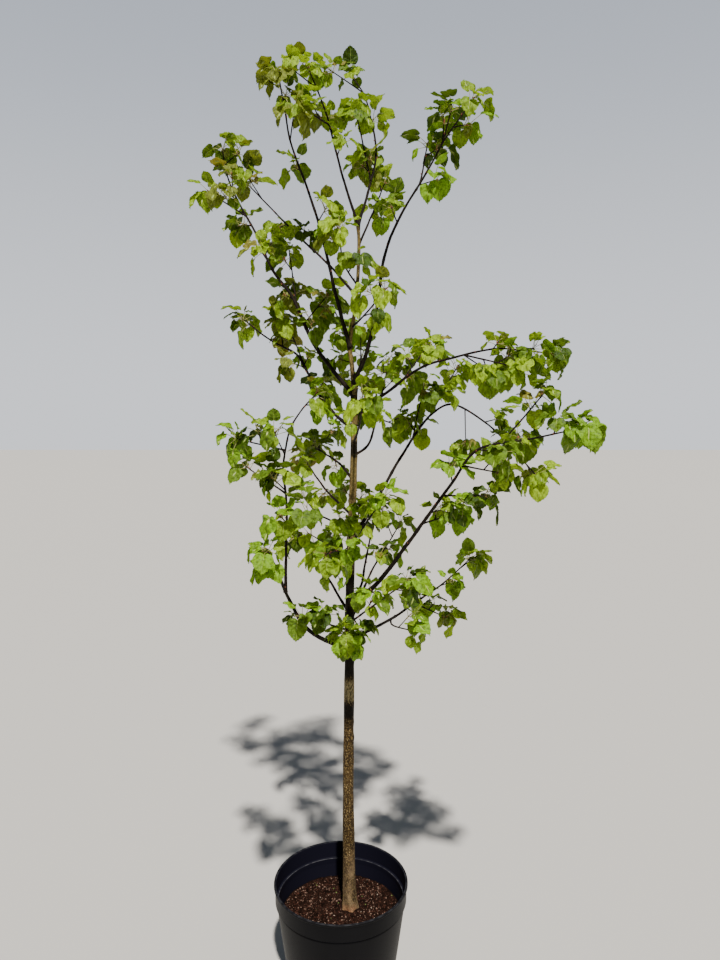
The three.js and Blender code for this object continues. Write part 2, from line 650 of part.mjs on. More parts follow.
// One mass: its stem, then the shoots and leaves that keep clear of all other limbs and masses.
function massSolid({ parts, stem, seed }, others) {
  const random = seeded(seed);
  let mass = stem;
  const blades = [];
  for (const { curve, from } of parts) {
    for (const shoot of growShoots(curve, from, random)) {
      const kept = [];
      for (const leaf of shoot.leaves) {
        const blade = bladeSolid(leaf);
        if (!staysClear(blade, [stem, ...others, ...blades])) continue;
        kept.push(leaf);
        blades.push(blade);
      }
      const grown = shootSolid(shoot, kept);
      if (kept.length > 0 && staysClear(grown, others)) mass = mass.add(grown);
    }
  }
  return mainBody(mass);
}

// Assembly

const sapling = new THREE.Group();

function addMesh(name, solid, look) {
  const mesh = new THREE.Mesh(geometryOf(solid), new THREE.MeshStandardMaterial(look));
  mesh.name = name;
  sapling.add(mesh);
}

addMesh('pot', potSolid(), POT_PLASTIC);
addMesh('root_ball', compostSolid(), COMPOST_LOOK);

const trunk = trunkSolid();
addMesh('trunk', trunk, BARK);

const limbSolids = [{ solid: trunk, grown: trunkSolid(CLEARANCE) }];
for (const limb of LIMBS) {
  const curve = limbCurve(limb);
  curves.set(limb.name, curve);
  if (limb.bare === 0) continue;
  const solid = cutClear(limbSolid(curve, limb.thick, 0, limb.bare), limbSolids);
  limbSolids.push({ solid, grown: limbSolid(curve, limb.thick, 0, limb.bare, CLEARANCE) });
  addMesh(`bough_${limb.name}`, solid, limb.thick[0] > OLD_BARK_THICKNESS ? BARK : YOUNG_BARK);
}

const masses = [];
LIMBS.forEach((limb, index) => {
  if (limb.bare === 1) return;
  const parts = stemParts(limb);
  const whole = wasm.Manifold.union(parts.map(({ curve, from, thick }) => (
    limbSolid(curve, thick, from, 1))));
  const grown = wasm.Manifold.union(parts.map(({ curve, from, thick }) => (
    limbSolid(curve, thick, from, 1, CLEARANCE))));
  const stem = cutClear(whole, [...limbSolids, ...masses]);
  masses.push({ name: limb.name, parts, stem, solid: stem, grown, seed: index + 1 });
});

masses.forEach((mass, index) => {
  const others = [...limbSolids, ...masses.filter((other) => other !== mass)];
  mass.solid = massSolid(mass, others.map((other) => other.solid));
  addMesh(`foliage_${mass.name}`, mass.solid, {
    color: FOLIAGE_TINTS[index % FOLIAGE_TINTS.length], roughness: 0.6,
  });
});

export default sapling;
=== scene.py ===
import itertools
import math

import bpy
import numpy as np
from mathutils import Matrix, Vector


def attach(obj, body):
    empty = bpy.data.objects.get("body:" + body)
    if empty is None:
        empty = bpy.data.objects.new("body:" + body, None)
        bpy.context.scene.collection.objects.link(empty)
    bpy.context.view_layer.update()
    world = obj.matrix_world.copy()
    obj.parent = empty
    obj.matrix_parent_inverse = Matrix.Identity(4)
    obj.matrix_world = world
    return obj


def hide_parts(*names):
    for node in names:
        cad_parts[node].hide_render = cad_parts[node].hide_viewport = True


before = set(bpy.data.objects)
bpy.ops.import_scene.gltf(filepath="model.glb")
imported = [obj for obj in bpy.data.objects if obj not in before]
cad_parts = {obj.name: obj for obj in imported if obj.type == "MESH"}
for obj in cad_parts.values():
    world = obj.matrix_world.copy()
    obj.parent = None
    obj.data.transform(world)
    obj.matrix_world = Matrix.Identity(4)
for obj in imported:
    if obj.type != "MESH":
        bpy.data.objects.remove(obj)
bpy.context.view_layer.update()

# A lime sapling in a black nursery pot. Sizes are in millimetres, in the frame of the part,
# and become metres where a mesh is made.

MM = 0.001

# Camera, light and floor

CAMERA_PLACE = (57, -2080, 1731)
CAMERA_PITCH = 5.44
CAMERA_LENS = 27.56
CAMERA_SENSOR = 36
CAMERA_REACH = (0.05, 200)
SUN_HEIGHT = 56
SUN_TURN = 8
SUN_STRENGTH = 6.2
SUN_SOFTNESS = 2
SUN_COLOUR = (1.0, 0.965, 0.90)
FILL_COLOUR = (0.102, 0.117, 0.143)
SKY_LOW = (0.95, 0.98, 1.04)
SKY_HIGH = (0.50, 0.55, 0.64)
SKY_FADE = (0.0, 0.55)
FLOOR_COLOUR = (0.62, 0.60, 0.57)
FLOOR_SHADE = (0.45, 0.44, 0.42)
FLOOR_SIZE = 60

# Pot

POT_HEIGHT = 330
POT_RIM = 200
POT_COLLAR = 196
POT_COLLAR_DEPTH = 52
POT_SHOULDER = 191
POT_FOOT = 155
POT_FOOT_ROUNDING = 8
POT_WALL = 3
POT_SIDES = 160
DRAIN_HOLES = 6
DRAIN_HOLE_RADIUS = 8
DRAIN_CIRCLE = 122
DRILL_HEIGHTS = (-4, 1.5, 7)
DRILL_SIDES = 24

# Compost

COMPOST_EDGE = 224
COMPOST_SAG = 3
COMPOST_MIDDLE = 120
COMPOST_MOUND = 22
COMPOST_SPREAD = 105
COMPOST_GAP = 0.6
COMPOST_LIFT = 0.3
COMPOST_SIDES = 150
COMPOST_RINGS = 56
HEAP_ABOVE_FOOT = 1.5
LUMP_SEED = 11
LUMPS_OFF_TRUNK = 30
LUMPS_OFF_WALL = 5
LUMP_SMALLNESS = 2.2
LUMP_TILT = 0.3
LUMP_UNEVENNESS = 0.13
CRUMBS = 8500
CHIPS = 300
MOSS_TUFTS = 40

TRUNK_STATIONS = [
    [242, 27, 0, 48],
    [270, 26, 0, 42],
    [330, 25, 0, 38],
    [590, 22, 2, 32],
    [880, 25, 6, 29.5],
    [1160, 27, 8, 26.5],
    [1330, 31, 6, 23.5],
    [1590, 39, 2, 20],
    [1770, 41, 0, 16.5],
    [1850, 35, -2, 12.5],
    [1915, 29, -3, 11],
    [2030, 46, 0, 10],
    [2180, 54, 3, 9],
    [2240, 52, 3, 8],
]

TIP_THICK = 3.6


class Limb:
    """One limb. Its foot is a height on the trunk, or the name of the limb that carries it and a
    share of that limb's length. It passes some places on the way to its tip, and is bare up to a
    share of its length. Each fork is a share of its length and a tip."""

    def __init__(self, name, foot, thick, bare, places, tip, forks=(), tip_thick=TIP_THICK):
        self.name, self.foot, self.bare = name, foot, bare
        self.on_trunk = not isinstance(foot, tuple)
        self.thick = [thick, tip_thick]
        self.places, self.tip, self.forks = places, tip, forks
        self.line = None


LIMBS = [
    Limb("leader_left", 2236, 8, 0.3, [[8, -8, 2370], [-37, -22, 2533]], [-76, -29, 2625],
         [(0.66, [-72, -52, 2512])]),
    Limb("leader_right", 2236, 8, 0.28, [[88, 28, 2366], [102, 45, 2444], [85, 60, 2551],
         [66, 72, 2615]], [40, 80, 2655], [(0.3, [45, 28, 2552])]),
    Limb("left_rise", 1905, 12, 0.44, [[-8, -20, 2040], [-48, -45, 2210], [-82, -55, 2315],
         [-126, -75, 2434], [-137, -96, 2502]], [-150, -108, 2575]),
    Limb("upper_left", 1768, 13, 0.2, [[-72, 26, 1915], [-135, 42, 2050], [-190, 52, 2125],
         [-242, 66, 2236], [-300, 92, 2341], [-328, 112, 2411]], [-340, 128, 2472],
         [(0.31, [-45, 75, 2050]), (0.38, [-150, 120, 2195]), (0.74, [-366, 95, 2346])]),
    Limb("back_left_top", 2045, 8, 0.38, [[-28, 68, 2140], [-119, 140, 2235]], [-280, 265, 2415]),
    Limb("right_leader", 1808, 13, 0.56, [[72, -20, 1880], [100, -42, 1990], [125, -72, 2150],
         [167, -95, 2245], [224, -125, 2332], [264, -150, 2403]], [282, -168, 2466],
         [(0.76, [232, -88, 2414]), (0.9, [328, -178, 2486])]),
    Limb("back_right_top", 2186, 6.5, 0.3, [[80, 80, 2260]], [132, 265, 2425]),
    Limb("mid_left", 1672, 11, 0.22, [[-20, 32, 1725], [-64, 60, 1780], [-103, 85, 1853],
         [-128, 100, 1892], [-211, 140, 1939]], [-294, 188, 2003], [(0.42, [-160, 150, 1985])]),
    Limb("low_left", 1031, 14, 0.78, [[-88, -80, 1122], [-138, -148, 1236], [-160, -200, 1318]],
         [-176, -232, 1368], tip_thick=7),
    Limb("left_upright", ("low_left", 0.69), 9, 0.25, [[-134, -205, 1385], [-132, -205, 1500],
         [-141, -192, 1577], [-123, -185, 1680], [-98, -170, 1726]], [-62, -150, 1768],
         [(0.5, [-225, -205, 1580]), (0.7, [-258, -160, 1655])]),
    Limb("back_left", 1531, 9, 0.35, [[0, 120, 1567], [-52, 250, 1592]], [-110, 385, 1615]),
    Limb("back_left_mid", 1431, 9, 0.35, [[-43, 130, 1487]], [-128, 325, 1575]),
    Limb("pruned_shoot", 1170, 9, 1, [[62, 30, 1225], [70, 52, 1270]], [88, 98, 1350], tip_thick=5),
    Limb("main_right", 1158, 15, 0.42, [[113, -46, 1254], [190, -106, 1374], [292, -196, 1541],
         [350, -250, 1632], [470, -285, 1660]], [566, -325, 1684], [(0.42, [312, -110, 1452]),
         (0.54, [378, -175, 1508]), (0.66, [400, -230, 1575]), (0.8, [495, -300, 1765])]),
    Limb("mid_right", 1358, 11, 0.36, [[92, 20, 1451], [177, 70, 1594], [267, 120, 1715],
         [325, 130, 1748], [420, 55, 1695]], [530, -100, 1560], [(0.4, [245, 105, 1800]),
         (0.5, [342, 135, 1850])]),
    Limb("upper_right", 1723, 10, 0.2, [[132, -40, 1780], [218, -86, 1843], [320, -135, 1872],
         [405, -175, 1887]], [530, -222, 1872], [(0.3, [238, -20, 1900]),
         (0.62, [448, -250, 1835])]),
    Limb("back_right", 1602, 8, 0.35, [[78, 40, 1628], [108, 125, 1713]], [147, 320, 1876],
         [(0.4, [170, 150, 1685])]),
    Limb("low_right", 1064, 11, 0.42, [[152, 50, 1116], [210, 85, 1146], [316, 150, 1200]],
         [395, 185, 1262], [(0.5, [306, 100, 1110])]),
    Limb("low_spur", ("low_right", 0.3), 5, 0, [[150, 45, 1100]], [204, 30, 1086]),
    Limb("front_right", 1345, 8, 0.3, [[70, -100, 1420]], [118, -235, 1510]),
    Limb("back", 1190, 10, 0.4, [[40, 180, 1320]], [60, 405, 1430]),
    Limb("back_right_low", 1110, 9, 0.4, [[90, 150, 1230]], [182, 340, 1340]),
    Limb("back_left_low", 1140, 9, 0.4, [[-55, 140, 1240]], [-150, 310, 1335]),
    Limb("back_mid", 1700, 7, 0.35, [[50, 180, 1810]], [62, 365, 1905]),
    Limb("front_mid", 1640, 7, 0.3, [[55, -140, 1690]], [62, -300, 1755]),
    Limb("front_left", 1364, 7, 0, [[-24, -120, 1436]], [-75, -255, 1475]),
    Limb("front", 1318, 8, 0, [[0, -160, 1360]], [-24, -335, 1385]),
    Limb("front_right_low", 1115, 7, 0, [[95, -150, 1210]], [165, -285, 1300]),
    Limb("front_left_low", 1092, 7, 0, [[-15, -90, 1135]], [-92, -152, 1180]),
    Limb("rosette", 1062, 5, 0, [[20, -48, 1086]], [18, -84, 1106]),
    Limb("back_upper", 1840, 6, 0, [[10, 150, 1960]], [-30, 325, 2060]),
    Limb("front_upper", 1960, 5, 0, [[70, -80, 1985]], [118, -190, 2030]),
    Limb("front_top", 2075, 5, 0, [[14, -70, 2120]], [4, -165, 2180]),
]

TRUNK_SIDES = 48
TRUNK_STEP = 4
FLARE_HEIGHT = 75
FLARE_LOBES = 5
FLARE_DEPTH = 0.13
FLARE_TURN = 0.6
DARK_FORK_THICKNESS = 10
DARK_FORK_HEIGHT = 62
DARK_FORK_SUNK = 8
DARK_FORK_SPREAD = 1.7
RAGGED_UP = 0.25
RAGGED_ROUND = 0.2
LIMB_SIDES = 14
LIMB_STEP = 5
LIMB_COLLAR = 0.35
LIMB_COLLAR_LENGTH = 14
LIMB_TAPER = 0.8
STEM_SIDES = 10
STOUT_STEM = 7
TWIG_SIDES = 8
TWIG_STEP = 7
FORK_THICK = [4.6, 3.4]
BUD_SPACING = 46

# The rule by which shoots, tufts and leaves grow, as in the part

TUFT_SPACING = 100
SPUR_LENGTH = [24, 50]
LONG_SHOOT_LENGTH = [70, 115]
LONG_SHOOT_EVERY = 4
SHOOT_PLACE = [0.25, 0.75]
SHOOT_THICK = 3
SHOOT_FORWARD = 0.7
SHOOT_LIFT = 0.25
KNOB_ROW = 7
SECOND_EXTRA_SHARE = 0.1
LEAF_LENGTH = [58, 88]
LEAF_DROOP = [0.3, 1.0]
LEAF_DROOP_EASED = 0.6
LEAF_FORWARD = [0, 0, 0.7, 1.4]
LEAF_ROLL = [-0.5, 0.5]
GOLDEN_ANGLE = math.pi * (3 - math.sqrt(5))
UP = np.array([0.0, 0.0, 1.0])
NEARLY_UPRIGHT = 0.05

# Which masses carry which tints

BRONZE_MASSES = ["upper_left", "left_rise", "leader_left", "back_left_top", "mid_left"]
LOW_MASSES = ["low_left", "left_upright", "main_right", "low_right", "low_spur", "front_left",
              "front", "front_right_low", "front_left_low", "rosette"]
DEEP_MASSES = ["back", "back_left", "back_left_mid", "back_left_low", "back_right_low",
               "back_mid", "back_upper", "back_right", "back_right_top"]
# The first tint is a painted sunlit green, and the darkest a painted shaded green.
TINTS = {
    "leaf_sunny": (0.295, 0.445, 0.014),
    "leaf_fresh": (0.185, 0.355, 0.009),
    "leaf_lime": (0.210, 0.335, 0.012),
    "leaf_green": (0.118, 0.208, 0.012),
    "leaf_shaded": (0.050, 0.100, 0.007),
    "leaf_olive": (0.185, 0.225, 0.026),
    "leaf_bronze": (0.225, 0.205, 0.030),
}
TINT_NAMES = list(TINTS)
TINT_SHARES = {
    "bright_low": [0.14, 0.32, 0.16, 0.21, 0.12, 0.03, 0.02],
    "bright_high": [0.30, 0.14, 0.25, 0.17, 0.07, 0.05, 0.02],
    "bronze": [0.26, 0.05, 0.25, 0.13, 0.04, 0.23, 0.04],
    "deep": [0.12, 0.13, 0.24, 0.28, 0.16, 0.05, 0.02],
}
RIB = len(TINT_NAMES)


# Numbers and lines

class Chance:
    """A repeatable row of numbers between 0 and 1."""

    def __init__(self, seed):
        self.state = seed * 7919 + 17

    def __call__(self):
        self.state = self.state * 16807 % 2147483647
        return self.state / 2147483647

    def pick(self, shares):
        mark = self() * sum(shares)
        for index, share in enumerate(shares):
            mark -= share
            if mark < 0:
                return index
        return len(shares) - 1


def mix(limits, share):
    return limits[0] + (limits[1] - limits[0]) * share


def unit(way):
    return way / np.linalg.norm(way)


def spoke(first, second, turn):
    """The direction at a turn from the first of two directions towards the second."""
    return first * math.cos(turn) + second * math.sin(turn)


def drawn(start, middle, end, share):
    """A point, or points, on the curve from start to end that is drawn towards middle."""
    return (1 - share) ** 2 * start + 2 * share * (1 - share) * middle + share ** 2 * end


def square_to(way):
    """Two directions square to a way: the first level, the second as near upright as it can be."""
    level = np.cross(UP, way)
    level = unit(level) if np.linalg.norm(level) >= NEARLY_UPRIGHT else np.array([1.0, 0.0, 0.0])
    return level, unit(np.cross(way, level))


class Line:
    """A smooth line through places, read by share of its length."""

    PARTS = 200
    NEAR = 1e-4

    def __init__(self, places):
        self.places = np.array(places, float)
        self.steps = np.linspace(0, 1, self.PARTS + 1)
        points = np.array([self.at_step(step) for step in self.steps])
        self.travelled = np.concatenate(
            [[0], np.cumsum(np.linalg.norm(np.diff(points, axis=0), axis=1))])
        self.length = self.travelled[-1]

    def at_step(self, step):
        places, spans = self.places, len(self.places) - 1
        if spans == 1:
            return places[0] + (places[1] - places[0]) * step
        span = min(int(spans * step), spans - 1)
        part = spans * step - span
        a, b = places[span], places[span + 1]
        before = places[span - 1] if span else 2 * a - b
        after = places[span + 2] if span + 2 <= spans else 2 * b - a
        gaps = [math.sqrt(np.linalg.norm(q - p)) for p, q in ((before, a), (a, b), (b, after))]
        leave = ((a - before) / gaps[0] - (b - before) / (gaps[0] + gaps[1])
                 + (b - a) / gaps[1]) * gaps[1]
        arrive = ((b - a) / gaps[1] - (after - a) / (gaps[1] + gaps[2])
                  + (after - b) / gaps[2]) * gaps[1]
        return (a + leave * part + (3 * (b - a) - 2 * leave - arrive) * part ** 2
                + (2 * (a - b) + leave + arrive) * part ** 3)

    def step_at(self, share):
        return float(np.interp(share * self.length, self.travelled, self.steps))

    def at(self, share):
        return self.at_step(self.step_at(share))

    def way(self, share):
        step = self.step_at(share)
        ahead, behind = min(1, step + self.NEAR), max(0, step - self.NEAR)
        return unit(self.at_step(ahead) - self.at_step(behind))


# Skins

class Skin:
    """The points and faces of one piece, gathered part by part."""

    def __init__(self):
        self.points, self.faces, self.slots, self.count = [], [], [], 0

    def add(self, points, *faces, slot=0):
        """Adds points with one or more sets of faces. slot is for all sets, or one for each."""
        slots = slot if isinstance(slot, tuple) else (slot,) * len(faces)
        for some, its_slot in zip(faces, slots):
            some = np.asarray(some)
            self.faces.append(some + self.count)
            self.slots.append(np.broadcast_to(its_slot, len(some)))
        self.points.append(np.asarray(points, float))
        self.count += len(points)

    def piece(self, name, materials, slot, nodes=()):
        mesh = bpy.data.meshes.new(name)
        points = np.concatenate(self.points) * MM
        corners = np.concatenate([some.ravel() for some in self.faces]).astype(np.int32)
        sizes = np.concatenate([np.full(len(some), some.shape[1]) for some in self.faces])
        mesh.vertices.add(len(points))
        mesh.vertices.foreach_set("co", points.astype(np.float32).ravel())
        mesh.loops.add(len(corners))
        mesh.loops.foreach_set("vertex_index", corners)
        mesh.polygons.add(len(sizes))
        mesh.polygons.foreach_set("loop_start", np.cumsum(sizes) - sizes)
        mesh.polygons.foreach_set("material_index", np.concatenate(self.slots))
        mesh.polygons.foreach_set("use_smooth", np.ones(len(sizes), bool))
        mesh.update(calc_edges=True)
        for material in materials:
            mesh.materials.append(material)
        made = bpy.data.objects.new(name, mesh)
        bpy.context.scene.collection.objects.link(made)
        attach(made, "root")
        if nodes:
            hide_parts(*nodes)
        return made


def turns_round(sides):
    """Equally spaced turns about an axis."""
    return np.arange(sides) * 2 * math.pi / sides


def closed_rings(rings, foot, top):
    """A closed skin through rings of equally many points, with one point at each end."""
    count, sides = rings.shape[:2]
    starts = (np.arange(count - 1) * sides)[:, None]
    side, after = np.arange(sides), (np.arange(sides) + 1) % sides
    walls = np.stack([starts + side, starts + after, starts + sides + after,
                      starts + sides + side], axis=-1).reshape(-1, 4)
    last = (count - 1) * sides
    ends = np.concatenate([
        np.stack([np.full(sides, count * sides), after, side], axis=1),
        np.stack([np.full(sides, count * sides + 1), last + side, last + after], axis=1)])
    return np.concatenate([rings.reshape(-1, 3), [foot, top]]), walls, ends


def tube(centres, radii, sides):
    """A closed round skin about a line of centres. radii is one for each centre, or for each
    side of each."""
    centres = np.asarray(centres, float)
    radii = np.asarray(radii, float)
    if radii.ndim == 1:
        radii = np.repeat(radii[:, None], sides, axis=1)
    ways = np.gradient(centres, axis=0)
    ways /= np.linalg.norm(ways, axis=1)[:, None]
    across = square_to(ways[0])[0]
    firsts, seconds = [], []
    for way in ways:
        across = unit(across - way * across.dot(way))
        firsts.append(across)
        seconds.append(np.cross(way, across))
    turns = turns_round(sides)
    firsts, seconds = np.array(firsts)[:, None, :], np.array(seconds)[:, None, :]
    spread = np.cos(turns)[None, :, None] * firsts + np.sin(turns)[None, :, None] * seconds
    rings = centres[:, None, :] + radii[:, :, None] * spread
    return closed_rings(rings, centres[0], centres[-1])


# Materials

NODE_SPACING = 180
PLAIN_SPECULAR = 0.5


class Finish:
    """A material or node group under construction: its nodes are set out from left to right."""

    def __init__(self, name, tree=None):
        if tree is None:
            self.material = bpy.data.materials.new(name)
            self.material.use_nodes = True
            tree = self.material.node_tree
            tree.nodes.clear()
        self.tree, self.column = tree, 0

    def feed(self, node, socket, value):
        """Links or sets one input of a node. A colour is given as red, green and blue."""
        entry = node.inputs[socket]
        if isinstance(value, bpy.types.NodeSocket):
            self.tree.links.new(value, entry)
        else:
            entry.default_value = (*value, 1) if entry.type == "RGBA" else value

    def node(self, kind, inputs=(), **settings):
        """Makes a node with its settings, and feeds its inputs by name or number."""
        made = self.tree.nodes.new(kind)
        self.column += 1
        made.location = (NODE_SPACING * self.column, 0)
        for key, value in settings.items():
            setattr(made, key, value)
        for socket, value in dict(inputs).items():
            self.feed(made, socket, value)
        return made

    def noise(self, scale, detail=3.0, roughness=0.5, coordinates=None):
        inputs = {"Scale": scale, "Detail": detail, "Roughness": roughness}
        if coordinates is not None:
            inputs["Vector"] = coordinates
        return self.node("ShaderNodeTexNoise", inputs).outputs["Fac"]

    def place(self):
        return self.node("ShaderNodeTexCoord").outputs["Object"]

    def axes(self, coordinates):
        return self.node("ShaderNodeSeparateXYZ", {"Vector": coordinates}).outputs

    def stretched(self, coordinates, scale):
        inputs = {"Vector": coordinates, "Scale": scale}
        return self.node("ShaderNodeMapping", inputs).outputs["Vector"]

    def reach(self, value, low, high, out_low=0.0, out_high=1.0):
        inputs = {"Value": value, "From Min": low, "From Max": high,
                  "To Min": out_low, "To Max": out_high}
        made = self.node("ShaderNodeMapRange", inputs, interpolation_type="SMOOTHSTEP")
        return made.outputs["Result"]

    def reckon(self, operation, a, b):
        return self.node("ShaderNodeMath", {0: a, 1: b}, operation=operation).outputs["Value"]

    def plus(self, a, b):
        return self.reckon("ADD", a, b)

    def times(self, a, b):
        return self.reckon("MULTIPLY", a, b)

    def between(self, value, low, high, soft_low, soft_high):
        """Full between two values, with soft ends."""
        return self.times(self.reach(value, low - soft_low, low + soft_low),
                          self.reach(value, high + soft_high, high - soft_high))

    def blend(self, share, a, b):
        return self.node("ShaderNodeMix", {0: share, 6: a, 7: b}, data_type="RGBA").outputs[2]

    def effect(self, group, **values):
        inputs = {socket.replace("_", " "): value for socket, value in values.items()}
        return self.node("ShaderNodeGroup", inputs, node_tree=group).outputs

    def bump(self, height, strength, distance):
        inputs = {"Height": height, "Strength": strength, "Distance": distance}
        return self.node("ShaderNodeBump", inputs).outputs["Normal"]

    def surface(self, colour, roughness, specular=PLAIN_SPECULAR, normal=None, glow=None):
        """Ends the material in its shader. glow is the share of light that passes through, and
        the colour of that light."""
        inputs = {"Base Color": colour, "Roughness": roughness, "Specular IOR Level": specular}
        if normal is not None:
            inputs["Normal"] = normal
        shader = self.node("ShaderNodeBsdfPrincipled", inputs).outputs["BSDF"]
        if glow is not None:
            share, tint = glow
            through = self.node("ShaderNodeBsdfTranslucent", {"Color": tint}).outputs["BSDF"]
            both = self.node("ShaderNodeMixShader", {0: share, 1: shader, 2: through})
            shader = both.outputs["Shader"]
        self.node("ShaderNodeOutputMaterial", {"Surface": shader})
        return self.material


def effect_group(name, inputs, outputs, build):
    """A shader node group with named inputs and outputs, all of them numbers."""
    tree = bpy.data.node_groups.new(name, "ShaderNodeTree")
    for label, value in inputs.items():
        socket = tree.interface.new_socket(label, in_out="INPUT", socket_type="NodeSocketFloat")
        socket.default_value = value
    for label in outputs:
        tree.interface.new_socket(label, in_out="OUTPUT", socket_type="NodeSocketFloat")
    inside = Finish(name, tree)
    inside.node("NodeGroupOutput", build(inside, inside.node("NodeGroupInput").outputs))
    return tree


def lenticels_inside(inside, given):
    """Corky specks, taller than wide, each a little raised."""
    place = inside.stretched(inside.place(), (1.0, 1.0, 0.55))
    cells = inside.node("ShaderNodeTexVoronoi", {"Vector": place, "Scale": given["Scale"]})
    speck = inside.reach(cells.outputs["Distance"], given["Size"], 0.0)
    patch = inside.reach(inside.noise(38.0, 2.0), given["Thinning"], 0.72)
    return {"Mask": inside.times(speck, patch)}


def mottling_inside(inside, given):
    """Cloudy unevenness of two sizes."""
    place = inside.stretched(inside.place(), (1.0, 1.0, 0.6))
    broad = inside.noise(given["Broad"], 3.0, 0.6, place)
    fine = inside.noise(given["Fine"], 5.0, 0.7, place)
    both = inside.plus(inside.times(broad, 0.55), inside.times(fine, 0.45))
    return {"Mask": inside.reach(both, 0.36, 0.64), "Grain": fine}


def settled_dust_inside(inside, given):
    """Dust and splashed soil, thick at one height and gone at another."""
    height = inside.axes(inside.place())["Z"]
    fade = inside.reach(height, given["Gone at"], given["Thick at"])
    spots = inside.reach(inside.noise(given["Scale"], 6.0, 0.65), 0.42, 0.68)
    return {"Mask": inside.times(fade, spots)}


def leaf_tissue_inside(inside, given):
    """Fine puckers, and patches of deeper and clearer green."""
    return {"Pucker": inside.noise(given["Puckers"], 3.0, 0.6),
            "Patch": inside.noise(given["Patches"], 2.0)}


lenticels = effect_group(
    "Lenticels", {"Scale": 300.0, "Size": 0.4, "Thinning": 0.3}, ["Mask"], lenticels_inside)
mottling = effect_group(
    "Mottling", {"Broad": 12.0, "Fine": 120.0}, ["Mask", "Grain"], mottling_inside)
settled_dust = effect_group(
    "Settled dust", {"Thick at": 0.0, "Gone at": 0.2, "Scale": 30.0}, ["Mask"],
    settled_dust_inside)
leaf_tissue = effect_group(
    "Leaf tissue", {"Puckers": 100.0, "Patches": 100.0}, ["Pucker", "Patch"], leaf_tissue_inside)


# The values between which most of a noise lies
GRAIN = (0.3, 0.7)


def bark_finish(name, dark, light, speck, speck_scale, speck_size, roughness):
    """Young bark: mottled ground with corky specks and a fine grain."""
    finish = Finish(name)
    ground = finish.effect(mottling, Broad=22.0, Fine=260.0)
    specks = finish.effect(lenticels, Scale=speck_scale, Size=speck_size, Thinning=0.3)
    colour = finish.blend(ground["Mask"], dark, light)
    colour = finish.blend(specks["Mask"], colour, speck)
    height = finish.plus(finish.times(ground["Grain"], 0.5), specks["Mask"])
    rough = finish.reach(ground["Grain"], *GRAIN, roughness - 0.12, roughness + 0.1)
    return finish.surface(colour, rough, 0.12, finish.bump(height, 0.6, 0.0012))


# The stem's bark: heights in metres where one kind passes into the next, of its nearly black
# bands of painted shade, and of its pale band. The grain frays each height by up to BARK_FRAY.
BARK_FOOT_ENDS = (0.36, 0.50)
BARK_HIGH_BEGINS = (1.25, 1.42)
PAINTED_SHADE_BANDS = [(0.868, 0.914), (0.990, 1.300), (1.634, 1.680)]
PALE_BAND = (0.922, 0.982)
BAND_ENDS = (0.006, 0.008)
BARK_FRAY = 0.07
SPLASH_HEIGHTS = {"Thick_at": 0.248, "Gone_at": 0.268}
SPLASH_FRONT = (-0.008, -0.017)


def trunk_finish():
    """The stem's bark: pale brown at its foot, dark and finely flecked in the middle, and golden
    and smoother above, with nearly black bands of painted shade and a pale band."""
    finish = Finish("bark_old")
    ground = finish.effect(mottling, Broad=45.0, Fine=230.0)
    flecks = finish.effect(lenticels, Scale=290.0, Size=0.52, Thinning=0.16)["Mask"]
    specks = finish.effect(lenticels, Scale=190.0, Size=0.36, Thinning=0.36)["Mask"]
    foot = finish.blend(ground["Mask"], (0.034, 0.023, 0.012), (0.235, 0.160, 0.088))
    middle = finish.blend(ground["Mask"], (0.008, 0.0045, 0.0017), (0.050, 0.029, 0.009))
    high = finish.blend(ground["Mask"], (0.040, 0.028, 0.009), (0.215, 0.155, 0.050))
    flaky = finish.reach(ground["Grain"], 0.42, 0.58)
    pale = finish.blend(flaky, (0.035, 0.028, 0.012), (0.300, 0.250, 0.120))
    place = finish.axes(finish.place())
    edge = finish.plus(place["Z"], finish.times(ground["Grain"], BARK_FRAY))
    colour = finish.blend(finish.reach(edge, *BARK_FOOT_ENDS), foot, middle)
    colour = finish.blend(finish.reach(edge, *BARK_HIGH_BEGINS), colour, high)
    colour = finish.blend(finish.between(edge, *PALE_BAND, *BAND_ENDS), colour, pale)
    colour = finish.blend(finish.times(flecks, 0.8), colour, (0.44, 0.295, 0.105))
    colour = finish.blend(finish.times(specks, 0.9), colour, (0.78, 0.58, 0.28))
    # Nearly black bands: painted shade, where the crown shades the stem.
    for heights in PAINTED_SHADE_BANDS:
        shade_band = finish.between(edge, *heights, *BAND_ENDS)
        colour = finish.blend(finish.times(shade_band, 0.93), colour, (0.004, 0.003, 0.002))
    splash = finish.effect(settled_dust, Scale=95.0, **SPLASH_HEIGHTS)["Mask"]
    splash = finish.times(splash, finish.reach(place["Y"], *SPLASH_FRONT))
    colour = finish.blend(splash, colour, (0.46, 0.17, 0.085))
    height = finish.plus(finish.times(ground["Grain"], 0.6), finish.plus(specks, flecks))
    rough = finish.reach(ground["Grain"], *GRAIN, 0.66, 0.86)
    return finish.surface(colour, rough, 0.15, finish.bump(height, 0.8, 0.0016))


def leaf_finish(name, tint):
    """Leaf tissue, finely puckered, that lets some light through."""
    finish = Finish(name)
    tissue = finish.effect(leaf_tissue, Puckers=105.0, Patches=115.0)
    rough = finish.reach(tissue["Patch"], *GRAIN, 0.36, 0.56)
    dull, clear = [tuple(part * share for part in tint) for share in (0.52, 1.26)]
    colour = finish.blend(finish.reach(tissue["Patch"], 0.34, 0.62), dull, clear)
    through = (min(1, tint[0] * 1.5 + 0.05), min(1, tint[1] * 1.45 + 0.05), tint[2] * 0.8)
    return finish.surface(colour, rough, 0.24, finish.bump(tissue["Pucker"], 0.9, 0.0040),
                          (0.28, through))


